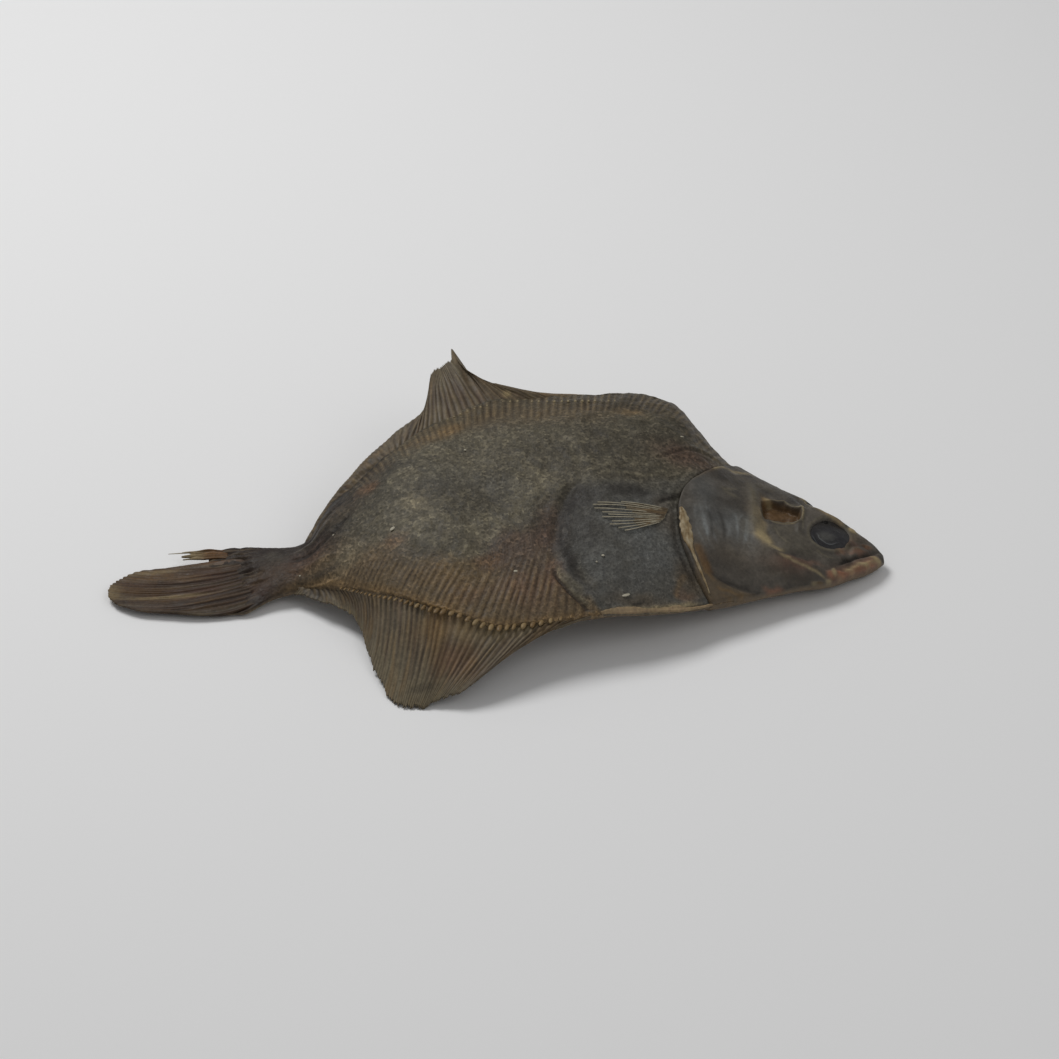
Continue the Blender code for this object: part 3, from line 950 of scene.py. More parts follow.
def trunk_relief(x, y, t, front, zones, top, bottom):
    """The trunk's two sides with ribs, grain and folds, thinned at the tail and sunk under the head."""
    top = top + RIB_RELIEF * np.maximum(zones.bands, zones.rayed) * (rib_height(zones.phase) - 0.6)
    top = top - 0.7 * zones.upper - 0.3 * zones.lower
    top = top + (0.5 * rough(x, y, 15, 5) + 0.3 * rough(x, y, 4.5, 6)) * (0.5 + 0.5 * zones.body)
    reach = 5 * fade(t, 0.78, 0.9) + 4 * (1 - fade(t, 0.04, 0.16))
    ending = fade(x + reach + 5 * zones.shreds, -99, -84)
    top, bottom = squeezed(top, bottom, (top + bottom) / 2, np.maximum(ending, TAIL_THIN))
    top = top - TAIL_SINK * (1 - ending)
    grain = granules(x, y, 1.1, 7) * (1 - 0.6 * zones.bands)
    top = folded(top + GRAIN_RELIEF * grain, x, y, TRUNK_FOLDS)
    top = top - 0.7 * ridge(x - front, -1.4, 1.5) * window(y, -46, 0, 5)
    in_head = fade(x - front, -0.6, 1.2)
    top = top - 2.6 * in_head
    bottom = bottom + 0.9 * in_head + 0.25 * rough(x, y, 7, 8) + 0.12 * granules(x, y, 1.8, 9)
    bottom = np.maximum(bottom, 0.05)
    return np.maximum(top, bottom + 0.5), bottom


def trunk_fields(x, y, zones):
    """The trunk's colours and ribs, as fields, with painted shade in some hollows, a painted sheen on the
    belly and painted light along the lower edge.
    """
    body, belly = zones.body, zones.belly
    fields = {
        "phase": zones.phase,
        "ribbed": 0.75 * zones.bands + 0.6 * zones.rayed,
        "tan": 0.85 * (1 - fade(zones.edge_away, 4, 20)) * (1 - belly) * body + 0.25 * zones.upper,
        # Amber along the lower edge: the knob row's own yellow, laid on also as painted light over the
        # shade below the edge's rounding.
        "amber": 0.5 * (1 - fade(zones.edge_away, 0.4, 3.0)) * (1 - belly) * body,
        "tail": zones.tail,
        "belly": belly * (0.88 + 0.14 * rough(x, y, 8, 16)),
        "speckled": (0.1 + 0.9 * body) * (1 - 0.75 * zones.bands) * (1 - 0.45 * belly),
    }
    for ring_x, ring_y, radius, strength in RINGS:
        away = np.hypot(x - ring_x, (y - ring_y) * 0.8) + 0.6 * hills(x, y, 3, 12)
        fields["pale"] = fields.get("pale", 0 * x) + strength * ridge(away, radius, RING_WIDTH)
    add_marks(fields, x, y, TRUNK_PATCHES, TRUNK_LINES, 41)
    return fields


def make_trunk(material):
    """The skin of body and tail base, from under the gill cover to the tail fin's rays."""
    r = np.linspace(0, 1, TRUNK_ROWS + 1)[:, None]
    t = np.linspace(0, 1, TRUNK_COLUMNS + 1)[None, :]
    front = gill_x(t)
    x = TRUNK_BACK + (front + TUCK - TRUNK_BACK) * r
    y, *sides = body_surfaces(x, t)
    zones = trunk_zones(x, y, t)
    top, bottom = trunk_relief(x, y, t, front, zones, *sides)
    under = np.stack([x, y, bottom], 2)[::2, ::2]
    piece = shell("trunk_skin", np.stack([x, y, top], 2), under)
    flat = np.ones(under.shape[:2])
    paint_sides(piece, trunk_fields(x, y, zones), {"blind": flat, "speckled": 0.6 * flat})
    return finish_piece(piece, material, replaces=True)


# ---------------------------------------------------------------- the head

HEAD_ROWS = 210
HEAD_COLUMNS = 216
COVER_LIFT = 1.3
COVER_ROUND = 0.9

HOLE = (
    (98.2, 2), (101.6, 2.8), (106.8, 1.9), (112.4, -3), (111.8, -6.6), (110.4, -9.6),
    (105.2, -10.4), (101.4, -9.8), (98.2, -8.4), (97.3, -3.6),
)
HOLE_DEPTH = 3.4
# The eyes' sockets: middle, radii and turn in plan.
LOWER_SOCKET = ((121.4, -13.2), (9.0, 6.8), 0.88)
UPPER_SOCKET = ((118.0, 3.9), (3.8, 2.8), -0.86)

# The loose skin below the gill cover.
CHIN = (
    (69, -32.5), (71.9, -36.4), (74.8, -39.1), (77.9, -40.4), (82.6, -41.4), (87.4, -41.8),
    (93, -42.4), (90, -47), (70, -52),
)

# Folds of the head: height, width, points.
HEAD_FOLDS = (
    (1, 1.8, ((95, 14), (95.5, 3), (94, -9), (93.5, -18), (95, -23.5), (98, -26))),
    (0.9, 0.9, ((94, -22), (100, -26.3), (108, -28.7), (114, -30.2), (119, -31.8))),
    (-0.8, 1.8, ((99, 7), (98.8, -2), (97.3, -13), (99.5, -21), (105, -25))),
    (0.9, 1, ((112.8, 5), (112.6, -3), (110.6, -9.5), (109, -17))),
    (0.7, 1.3, ((114.2, 12), (115.4, 6), (117.2, 0), (122.5, -3.2), (129, -5.2), (133, -8))),
    (-0.6, 1.2, ((112.5, 9), (113.2, 4), (115, -1.5))),
    (0.5, 1.4, ((98, -34), (106, -33.4), (113, -33.4))),
    (-0.5, 1.6, ((92, -35), (101, -32.6), (110, -32))),
    (-1.4, 0.8, ((121, -27.8), (125, -24.8), (129, -22.2), (134.5, -19.4), (140.5, -15.6))),
    (0.8, 1.3, ((118, -32.4), (125, -30), (132, -25.4), (139, -20.6))),
    (-0.5, 1.1, ((112, -20), (114, -22.2), (118, -23.6), (123.6, -21.6), (127, -17))),
    (-0.8, 1.2, ((71.5, -32), (76, -38.5), (84, -41.5), (92, -40.2))),
    (0.6, 0.7, ((71.5, -30), (75, -38.4), (83, -42.4), (90, -42.6))),
    (-0.5, 3, ((84, 4), (82, -10), (83, -24))),
    (-1, 1.5, ((127.6, -16.6), (127.2, -20.5), (126.6, -25))),
    (-0.7, 1, ((133.5, -15), (137, -18))),
)

# Tinted patches and lines of the head, some of them painted shade and sheen, in the same way.
HEAD_PATCHES = {
    # The blue patches on the gill cover are a painted sheen.
    "blue": ((0.5, 78, -16, 9, 12), (0.4, 87, -16, 5, 10), (0.4, 76, 0, 6, 7)),
    "painted_sheen": ((0.2, 74, -20, 3.4, 9), (0.2, 91, -20, 3, 9)),
    "tan": (
        (0.3, 80, -26, 12, 8), (0.5, 94.6, -10, 3, 12), (0.5, 132, -11, 4, 3),
        (0.25, 102, -32, 8, 4),
    ),
    "dark": (
        # The dark patch at 84, -35 is painted shade on the gill cover's lower part, which faces down.
        (0.3, 82, -6, 6, 5), (0.4, 87.5, -3.5, 5, 4.5), (0.4, 84, -35, 11, 4.5),
        (0.3, 84, 11, 8, 5), (0.3, 100, 9, 8, 3), (0.35, 105, -25, 9, 2),
        (0.4, 108, -33.4, 10, 2.2), (0.75, 127.9, -15.6, 2, 2.2), (0.7, 126.4, -24.2, 2.4, 2.2),
        (0.5, 132, -13.6, 3, 2), (0.35, 120.4, -27, 1.2, 3.4), (0.5, 134, -11.4, 2.2, 1.8),
        (0.2, 79, -42, 5, 3), (0.3, 72, -37, 3, 5),
    ),
    "pale": (
        (0.3, 104, -13.5, 5, 2), (0.25, 108, -18, 8, 3), (0.5, 86.4, 1.6, 3, 1),
        (0.4, 127.6, -17.6, 1.8, 1.4), (0.25, 101, 11, 5, 3), (0.28, 108, -23.5, 8, 3),
        (0.35, 91.4, -14, 3.5, 5),
    ),
    "cream": (
        (0.5, 96.2, -17, 1.8, 6), (0.9, 96.2, -19.8, 3, 3.4), (0.6, 99.5, -24.4, 3.4, 1.6),
        (0.25, 95.4, -8, 1.4, 5), (0.6, 93.1, 19, 2.4, 1.2), (0.6, 100.2, 2.6, 1.6, 1.2),
        (1, 130.8, -7.4, 1.7, 1.3), (0.5, 90, 17.4, 3.4, 1), (0.5, 97, 21, 2.6, 0.9),
    ),
    "amber": ((0.9, 99.8, 1.6, 2.6, 2.2), (0.9, 72.4, -35.4, 1.3, 2.2)),
    "salmon": (
        (0.4, 128.4, -14.6, 2.2, 2.4), (0.65, 97.6, -39.6, 3.2, 1), (0.35, 130.4, -18.8, 3.4, 1),
        (0.5, 124.6, -19.8, 2.4, 1.4), (0.25, 108, -29, 8, 1.4),
    ),
    "red": ((0.5, 131.8, -18.2, 3.2, 1.1), (0.5, 123, -22.4, 1.3, 1.3), (0.3, 104, -30, 12, 3)),
}

# Lumps of bared bone and gristle along the jaw: field, strength, x, y, radii along x and y, height.
HEAD_LUMPS = (
    ("salmon", 0.8, 118.8, -31.4, 1.5, 1.5, 0.7), ("cream", 0.8, 120.4, -30.4, 1, 1.2, 0.6),
    ("cream", 0.8, 118.4, -33.8, 1.4, 1.1, 0.6), ("amber", 0.9, 115.2, -35, 1.8, 1, 0.6),
    ("cream", 0.5, 112.8, -35.2, 1.4, 0.8, 0.5), ("salmon", 0.4, 123.2, -30, 2.4, 0.8, 0.5),
    ("cream", 0.35, 126.8, -28.2, 2.2, 0.8, 0.5), ("rust", 0.3, 129.2, -26.4, 1.8, 0.8, 0.4),
    ("cream", 0.5, 132.2, -24.4, 2.6, 0.7, 0.4), ("salmon", 0.4, 134.8, -23.4, 1.6, 0.7, 0.3),
    ("cream", 0.8, 137.6, -20.4, 2.4, 0.8, 0.4), ("cream", 0.8, 130.9, -7.5, 1.4, 1.2, 0.6),
    ("salmon", 0.45, 127.6, -16.2, 1.6, 1.4, 0.5), ("tan", 0.8, 130.6, -18.4, 2, 1.2, 0.5),
    ("rust", 0.5, 134.8, -15.6, 2, 1, 0.4), ("tan", 0.8, 123.8, -20.8, 1.6, 1.2, 0.4),
)

HEAD_LINES = {
    "cream": (
        (0.7, 0.4, ((99, -26.2), (102, -27.6), (108, -29.7), (114, -31.4), (118.6, -33.2))),
        (0.6, 0.7, ((81, 12), (84, 15.4), (87.4, 18.4))),
        (0.55, 0.7, ((123.5, -29.4), (128, -26.6), (131.5, -24.6), (136, -22.2), (140.8, -19))),
        (0.5, 0.7, ((121, -32), (126, -30.6), (131, -27.2))),
        (0.7, 0.8, ((114.2, 12), (115, 8), (116.2, 3), (118, -0.4))),
        (0.6, 0.9, ((116, 1), (119, -1.6), (123.5, -4), (129, -6.2))),
        (0.3, 0.3, ((98.6, -9.4), (103, -11), (109.6, -10.6), (111, -9.6))),
    ),
    "pale": (
        (0.5, 2, ((95, 14), (95.5, 3), (94.5, -7), (94.5, -16), (96, -22.5))),
        (0.8, 0.3, ((112.8, 1), (113.2, -3), (112.2, -8.5), (111, -14))),
        (0.6, 0.4, ((106, 3), (110, 0.6), (113, -2.2))),
        (0.6, 0.5, ((83, 1.6), (86, 3.2), (90.6, 6.4))),
        (0.5, 0.4, ((114.5, -21.6), (117.4, -24.4), (121.6, -25))),
        (0.5, 0.4, ((100.6, -13), (102, -18), (105, -22))),
    ),
    "brown": ((0.8, 1.3, ((70.4, -27), (72, -32), (73.6, -36.4), (75.4, -38.8))),),
    "amber": (
        (0.7, 0.8, ((69.4, -27), (71, -32), (72.6, -37), (76, -41))),
        (0.6, 0.5, ((75, -42.4), (81, -43), (88, -44))),
        (0.4, 0.4, ((76, -44.4), (82, -45), (88, -45))),
    ),
    "dark": (
        # Painted shadow in the crease under the gill cover's lower edge.
        (0.6, 0.7, ((71.9, -35.4), (74.8, -38.3), (77.9, -39.7), (82.6, -40.6), (87.4, -41),
         (93, -41.6))),
        (0.9, 0.6, ((120.8, -28.2), (124, -25.4), (128.5, -22.4), (133, -20.2), (138, -17.2))),
        (0.6, 0.7, ((80.6, -10), (81.6, -17), (81, -25))),
        (0.5, 0.6, ((76.6, -12), (77.2, -18), (76.6, -24))),
    ),
    "tan": ((0.8, 0.8, ((71, 1), (76, 6), (82, 13), (86, 17))),),
    "salmon": (
        (0.75, 2.8, ((118.5, -33), (126, -29.6), (133, -25), (140.5, -19.4))),
        (0.4, 1.2, ((119, -1), (123.5, -3.4), (129, -5.6))),
    ),
    # Painted sheen: light streaks drawn across the gill cover.
    "painted_sheen": (
        (0.5, 0.8, ((74.1, -13.9), (74.6, -18), (75.2, -21.4), (74, -25))),
        (0.5, 0.7, ((86.7, -8.8), (87, -13.1), (86.5, -19))),
        (0.3, 0.6, ((82.9, -13.6), (83.2, -18.5), (82.3, -23.4))),
        (0.4, 0.7, ((90.7, -9.3), (90.5, -16.8), (87.6, -25.4))),
    ),
}


SNOUT_X = 141.0
# Where a sheen is painted on the gill cover: x, y, radius along x, radius along y, strength.
SHINING = ((75, -18, 5, 9, 1), (88, -17, 4, 9, 1))


def in_socket(x, y, socket):
    """How far from a socket's middle each place is: 1 on its rim."""
    (middle_x, middle_y), (radius_u, radius_v), turn = socket
    c, s = np.cos(turn), np.sin(turn)
    u = (x - middle_x) * c + (y - middle_y) * s
    v = (y - middle_y) * c - (x - middle_x) * s
    return np.hypot(u / radius_u, v / radius_v)


def head_relief(x, y, behind, zones, top, bottom):
    """The head's two sides: the cover's rounded edge, folds, lumps, sockets, the hole and the snout."""
    rounding = 1 - np.sqrt(np.clip(1 - (1 - np.clip(behind / COVER_ROUND, 0, 1)) ** 2, 0, 1))
    cover = 1 - fade(behind, 4, 24)
    top = top + COVER_LIFT * cover - (COVER_LIFT + 0.8) * rounding
    bottom = bottom - 0.5 * cover + rounding
    top = top + 0.3 * rough(x, y, 12, 51) + 0.14 * rough(x, y, 3.5, 52) + 0.05 * granules(x, y, 1.0, 53)
    top = folded(top, x, y, HEAD_FOLDS)
    u, v = x + 0.4 * hills(x, y, 1.5, 64), y + 0.4 * hills(x, y, 1.5, 65)
    for _, _, *lump in HEAD_LUMPS:
        top = top + bump(u, v, lump)
    top = top - 1.5 * (1 - fade(zones.eye, 0.86, 1.02)) + 0.2 * ridge(zones.eye, 1.12, 0.08)
    top = top - 1.2 * (1 - fade(zones.upper_eye, 0.8, 1.1))
    torn = (0.1 + 0.3 * zones.forward) * ridge(zones.hole, 0.4, 0.4) * (1 + hills(x, y, 1.4, 60))
    top = top - (HOLE_DEPTH + 0.45 * rough(x, y, 2.8, 56)) * zones.pit + torn
    bottom = np.maximum(bottom + 0.2 * rough(x, y, 6, 57), 0.0)
    middle = (top + bottom) / 2 - 0.4 * fade(x, 134, 141)
    snout = np.sqrt(np.clip(1 - fade(x, 135.5, 142.5) ** 2, 0.02, 1))
    top, bottom = squeezed(top, bottom, middle, snout)
    bottom = np.maximum(bottom, 0.0)
    return np.maximum(top, bottom + 0.6), bottom


def head_fields(x, y, behind, zones):
    """The head's colours, as fields, with a painted sheen on the gill cover and painted shade on its lower
    part and in the crease below it.
    """
    chin = 1 - fade(outside(x + 0.5 * hills(x, y, 3, 62), y, CHIN), -0.8, 0.8)
    shine = fade(rough(behind * 2.4, y * 0.5, 2.6, 63), 0.0, 1.0)
    shine = shine * sum(bump(x, y, spot) for spot in SHINING)
    rim = (0.1 + 0.7 * zones.forward) * ridge(zones.hole, 0.4, 0.3)
    fields = {
        "speckled": 0.1 + 0 * x,
        # a painted sheen in streaks over the gill cover
        "painted_sheen": 0.5 * shine,
        "brown": zones.pit,
        "tan": 0.75 * chin,
        "amber": zones.pit * (0.4 + 0.2 * hills(x, y, 3, 58)),
        "cream": rim * (0.6 + 0.7 * hills(x, y, 3, 59)),
        "pale": 0.5 * ridge(zones.eye, 1.08, 0.06),
        "dark": 0.8 * (1 - fade(zones.eye, 0.85, 1.05)) + 0.8 * (1 - fade(zones.upper_eye, 0.8, 1.0)),
    }
    add_marks(fields, x, y, HEAD_PATCHES, HEAD_LINES, 61)
    for field, strength, *lump, _ in HEAD_LUMPS:
        fields[field] = fields.get(field, 0 * x) + bump(x, y, (*lump, strength))
    return fields


def make_head(material):
    """The skin of the head, a cover that stands proud of the trunk along the gill opening."""
    forward = np.linspace(0, 1, HEAD_ROWS + 1)[:, None]
    t = np.linspace(0, 1, HEAD_COLUMNS + 1)[None, :]
    back = gill_x(t)
    x = back + (SNOUT_X - back) * forward
    y, *sides = body_surfaces(x, t)
    behind = x - back
    hole = outside(x + 0.35 * hills(x, y, 1.6, 54), y + 0.35 * hills(x, y, 1.6, 55), HOLE)
    zones = SimpleNamespace(
        eye=in_socket(x, y, LOWER_SOCKET),
        upper_eye=in_socket(x, y, UPPER_SOCKET),
        hole=hole,
        pit=1 - fade(hole, -1.2, 0.1),
        forward=fade(x, 102, 108),
    )
    top, bottom = head_relief(x, y, behind, zones, *sides)
    under = np.stack([x, y, bottom], 2)[::2, ::2]
    piece = shell("head_skin", np.stack([x, y, top], 2), under)
    paint_sides(piece, head_fields(x, y, behind, zones), {"blind": np.ones(under.shape[:2])})
    return finish_piece(piece, material)


# ---------------------------------------------------------------- fins

# The anal fin's guiding rays: base x, then the tip's x, y and height.
ANAL_RAYS = (
    (-73, -73.5, -19.4, 5.4), (-70, -70, -21.6, 6), (-66.5, -64, -27, 7),
    (-62.5, -58.5, -31.2, 7.6), (-58, -54, -35.4, 7.8), (-52, -50.6, -43, 5.6),
    (-46.5, -48.8, -52.5, 3.8), (-41, -46.2, -64, 1.9), (-36, -43, -74, 1),
    (-32, -39.8, -78.6, 0.9), (-26.5, -36, -80.2, 0.9), (-20.5, -32.4, -80.8, 1),
    (-14, -29.4, -80.5, 1.7), (-8, -26.2, -80.2, 2.6), (-2, -22.2, -80.1, 4.2),
    (4, -17.5, -79.7, 6.2), (11, -10.6, -76.5, 9.4), (18.5, -2.5, -70.4, 12.2), (26, 8, -63.8, 15),
    (36, 22, -59.6, 16.9),
)

# The dorsal fin's guiding rays, in the same way.
DORSAL_RAYS = (
    (-68, -68.8, 5.8, 8.6), (-58, -61, 14.5, 17), (-48, -52, 22.5, 24), (-38, -42, 32, 28.6),
    (-32, -31.5, 41.5, 31.4), (-27, -21.6, 51, 33.8), (-20, -17.8, 68.4, 36.8),
    (-10, -14, 71.4, 38), (-2, -11, 73.2, 38.5), (0, -10.2, 74, 38.6), (1.6, -9.2, 80.9, 39.4),
    (2.8, -8.7, 79.6, 39.2), (4.4, -7.4, 72.6, 39), (12, -3.4, 65.4, 38.6), (21, 5, 60.2, 37),
    (30, 12, 60.3, 34), (40, 22, 62.2, 29.5), (55, 38, 65.8, 23.2), (70, 55, 67.8, 17.2),
    (82, 70.6, 66.4, 12.2), (88, 79.4, 61.2, 9.6), (93, 86, 50, 6.2),
)

# The tail fin's rays: share across the base, then the tip's x, y and height.
TAIL_RAYS = (
    (0, -113, -24.2, 1), (0.12, -129, -20.9, 0.9), (0.25, -134.6, -18, 0.8),
    (0.38, -138.8, -14, 0.8), (0.5, -140.6, -9.6, 0.8), (0.62, -139.6, -5.6, 0.8),
    (0.75, -136, -1.4, 0.8), (0.88, -129.5, 2.9, 0.9), (1, -116, 4.9, 1.2),
)


TAIL_LIFT = 1.6


# Where the tail fin and its torn strip leave the body, along x.
TAIL_ROOT = -82.0
STRIP_ROOT = -97.0
FIN_INSET = 1.2
FIN_SPECKLE = 0.15
LEAST_FIN = 0.25
LOWEST = 0.02
SPINE_SIDES = 6

# Tinted patches of the fins, by field: strength, x, y, radius along x, radius along y.
ANAL_SPOTS = {
    "amber": ((0.45, -25, -60, 4, 14), (0.35, -15, -66, 3, 8), (0.4, -22, -58, 14, 5)),
    "salmon": ((0.35, -19, -70, 7, 5),),
    "pale": (
        (0.5, -41, -60, 7, 14), (0.4, -38, -73, 12, 8), (0.4, -31, -77, 8, 5),
        (0.45, -7, -62, 16, 4.4),
    ),
    "dark": ((0.6, -67, -23, 8, 6), (0.5, -31, -75.6, 4.5, 1.3)),
    "cream": ((0.4, -6, -61, 13, 3.6),),
    "tan": ((0.6, 4, -63, 14, 4),),
    "red": ((0.4, -8, -76, 9, 3),),
}
DORSAL_SPOTS = {
    "cream": ((0.9, 9.6, 55.7, 1.6, 1.2),),
    "dark": ((0.3, -30, 44, 6, 5),),
    "pale": ((0.35, -12, 66, 9, 7),),
    "tan": ((0.5, 40, 60, 40, 9),),
}
TAIL_SPOTS = {
    "tail": ((0.9, -88, -8, 26, 18),),
    "amber": ((0.4, -124, 0, 14, 3.5),),
    "cream": ((0.6, -119, -13, 17, 0.9), (0.45, -126, 1.5, 12, 1.3), (0.5, -140, -9, 4, 5)),
    "dark": ((0.6, -107, -7.5, 15, 1.6), (0.3, -92, -10, 9, 8), (0.25, -122, -4, 20, 9)),
    "blue": ((0.35, -125, -19, 12, 3),),
    "red": ((0.5, -102, -8, 14, 9),),
    "rust": ((0.14, -122, -6, 20, 12), (0.3, -97, 5, 12, 3.4)),
    "tan": ((0.4, -94, 4, 10, 4),),
}
STRIP_SPOTS = {
    "amber": ((0.5, -103, 8, 6, 3),),
    "rust": ((0.35, -101, 8, 8, 4),),
    "cream": ((0.9, -110, 8, 4, 3),),
}
WEB_SPOTS = {
    "pale": ((0.5, 47, -20, 6, 7),),
    "tan": ((0.8, 57, -17, 8, 7),),
}


def rib_pattern(phase, along, split):
    """Rays from 0 in a gap to 1 on a ray; each forks in two past the share of its length given."""
    forked = fade(along, split - 0.12, split + 0.12)
    twice = 0.5 - 0.5 * np.cos(4 * np.pi * phase)
    return rib_height(phase) * (1 - forked) + twice * forked, forked


# A fin's sheet: steps along its rays, share of their length where they fork, the height of
# their ribs, half the thickness between them, and how ragged its edge is.
FinShape = namedtuple("FinShape", "steps split rib half ragged")


def ray_fin(name, rays, phase, shape, material, fields_of):
    """A ribbed sheet over rays that each run through three points: base, middle and tip."""
    base, middle, tip = (part[:, None, :] for part in rays)
    v = np.linspace(0, 1, shape.steps + 1)[None, :, None]
    uneven = rib_pattern(phase, 1.0, shape.split)[0] - 0.6 + hills(phase * 3, 0 * phase, 1.7, 71)
    v = v * (1 + shape.ragged * uneven[:, None, None] * fade(v, 0.5, 1.0))
    curve = arc(base, middle, tip, v)
    along = v[..., 0]
    across = phase[:, None] + 0 * along
    across = across + 0.10 * hills(across * 2, along * 6, 1.5, 72)
    ribs, forked = rib_pattern(across, along, shape.split)
    ripple = 0.5 * hills(across * 1.1, along * 4, 1.6, 73) * fade(along, 0.1, 0.4)
    thin = 1 - 0.55 * fade(along, 0.3, 1.0)
    lift = shape.half * (0.6 + 0.4 * thin) + shape.rib * ribs * thin
    top, bottom = curve.copy(), curve.copy()
    top[..., 2] += lift + ripple
    bottom[..., 2] = np.maximum(bottom[..., 2] - lift * 0.8 + ripple, LOWEST)
    top[..., 2] = np.maximum(top[..., 2], bottom[..., 2] + LEAST_FIN)
    if looks_down(top):
        top, bottom, across, forked, along = (a[::-1] for a in (top, bottom, across, forked, along))
    piece = shell(name, top, bottom[::2, ::2])
    fields = fields_of(top[..., 0], top[..., 1], across, along) | {"phase": across, "forked": forked}
    paint_sides(piece, fields, {field: values[::2, ::2] for field, values in fields.items()})
    return finish_piece(piece, material)


def spines(name, lines, radii, fields, material):
    """Thin round rays that taper from the first radius to the second along each line of points."""
    turn = np.linspace(0, 2 * np.pi, SPINE_SIDES, endpoint=False)[None, :, None]
    points, quads, caps, first = [], [], [], 0
    for line in lines:
        run = np.gradient(line, axis=0)
        run /= np.linalg.norm(run, axis=1)[:, None]
        side = np.cross(run, (0.0, 0.0, 1.0))
        side /= np.linalg.norm(side, axis=1)[:, None]
        up = np.cross(side, run)
        share = np.linspace(0, 1, len(line))[:, None, None]
        radius = radii[0] + (radii[1] - radii[0]) * share
        ring = np.cos(turn) * side[:, None, :] + np.sin(turn) * up[:, None, :]
        points.append((line[:, None, :] + radius * ring).reshape(-1, 3))
        quads.append(first + ring_quads(len(line), SPINE_SIDES))
        ends = first + np.arange(len(line) * SPINE_SIDES).reshape(-1, SPINE_SIDES)
        caps.append(np.stack([ends[0], ends[-1][::-1]]))
        first += len(points[-1])
    points = np.concatenate(points)
    piece = make_mesh(name, points, [np.concatenate(quads), np.concatenate(caps)])
    paint(piece, {field: np.full(len(points), strength) for field, strength in fields})
    return finish_piece(piece, material)


def bowed(base, tip, bow):
    """Base, middle and tip of rays that stand off the straight line by the bow."""
    return base, (base + tip) / 2 + np.array(bow), tip


def body_edge(x, side, inset):
    """Points inside an edge of the body, half-way through its thickness."""
    y = smooth(side.edge, 1, x) + side.inward * inset
    return np.stack([x, y, smooth(side.edge, 2, x)], 1)


def across_body(x, t):
    """Points in the middle of the body's thickness."""
    y, top, bottom = body_surfaces(x, t)
    return np.stack([x, y, (top + bottom) / 2], 1)


def guided(rays, at):
    """Ray tips at the places given, from the guiding rays."""
    return np.stack([smooth(rays, k, at) for k in (1, 2, 3)], 1)


def fin_colours(pale_tip, ribbed, spots, streaked=0.5):
    """Colours of a fin: ribs, rays that differ in tint, a paler tip and tinted patches."""

    def fields(x, y, across, along):
        tip = fade(along, 0.62, 1.0) * pale_tip
        light, warm = (hills(across * 1.6, along * 3, 1.0, seed) for seed in (84, 85))
        made = {
            "ribbed": ribbed * (0.85 + 0.35 * hills(x, y, 5, 82)) * (1 - 0.3 * tip),
            "pale": tip * (0.8 + 0.3 * hills(x, y, 5, 83)) + streaked * fade(light, 0.1, 0.9),
            "dark": streaked * fade(-light, 0.1, 0.9) * (1 - tip),
            "amber": 0.8 * streaked * fade(warm, 0.1, 0.9),
            "red": 0.8 * streaked * fade(-warm, 0.2, 0.9),
            "speckled": FIN_SPECKLE + 0 * x,
        }
        add_spots(made, x, y, spots)
        return made

    return fields


def edge_fin(name, guides, samples, side, bow, shape, colours, material):
    """A fin on one edge of the body, along its guiding rays."""
    x = np.linspace(guides[0][0], guides[-1][0], samples)
    base = body_edge(x, side, FIN_INSET)
    phase = ray_phase(base[:, 0], base[:, 1], side)
    return ray_fin(name, bowed(base, guided(guides, x), bow), phase, shape, material, colours)


def make_fins(material):
    """The anal fin, whose highest ray reaches the ground, and the dorsal fin, folded down in front."""
    shape = FinShape(128, 0.8, 0.34, 0.3, 0.03)
    colours = fin_colours(0.8, 0.6, ANAL_SPOTS)
    edge_fin("anal_fin", ANAL_RAYS, 421, LOWER, (1.4, 0, 0.8), shape, colours, material)
    shape = FinShape(80, 0.7, 0.26, 0.28, 0.03)
    colours = fin_colours(0.4, 0.5, DORSAL_SPOTS)
    edge_fin("dorsal_fin", DORSAL_RAYS, 561, UPPER, (0, 0, 0.6), shape, colours, material)


def make_tail_fin(material):
    """The tail fin, a blunt paddle of long forked rays."""
    w = np.linspace(0, 1, 201)
    tip = guided(TAIL_RAYS, w)
    base = across_body(np.full(w.shape, TAIL_ROOT), 0.03 + 0.9 * w)
    middle = across_body((tip[:, 0] + TAIL_ROOT) / 2, TAIL_SHARE * w)
    lift = TAIL_LIFT * (1 - fade(w, 0.75, 1.0))
    middle[:, 2] += lift / 2
    tip[:, 2] += lift
    shape = FinShape(256, 0.6, 0.45, 0.4, 0.007)
    colours = fin_colours(0.1, 0.6, TAIL_SPOTS, 0.45)
    ray_fin("tail_fin", (base, middle, tip), TAIL_COUNT * w, shape, material, colours)


def make_tail_strip(material):
    """The upper rays of the tail fin, torn loose from the rest, and one ray that stands alone."""
    w = np.linspace(0, 1, 41)
    base = across_body(np.full(w.shape, STRIP_ROOT), 0.86 + 0.12 * w)
    tip = np.stack([-112.0 - 1.8 * np.cos(4 * np.pi * w), 6.9 + 2.7 * w, 2.6 + 1.4 * w], 1)
    rays = bowed(base, tip, (0, 0.3, 0.4))
    shape = FinShape(60, 0.6, 0.2, 0.22, 0.02)
    ray_fin("tail_strip", rays, w * 3, shape, material, fin_colours(0.9, 0.6, STRIP_SPOTS))
    loose = np.linspace((-110, 9.4, 4.3), (-118.6, 9.2, 4.4), 12)
    spines("tail_ray", [loose], (0.3, 0.12), (("cream", 1.0), ("white", 0.6)), material)


# ---------------------------------------------------------------- small parts

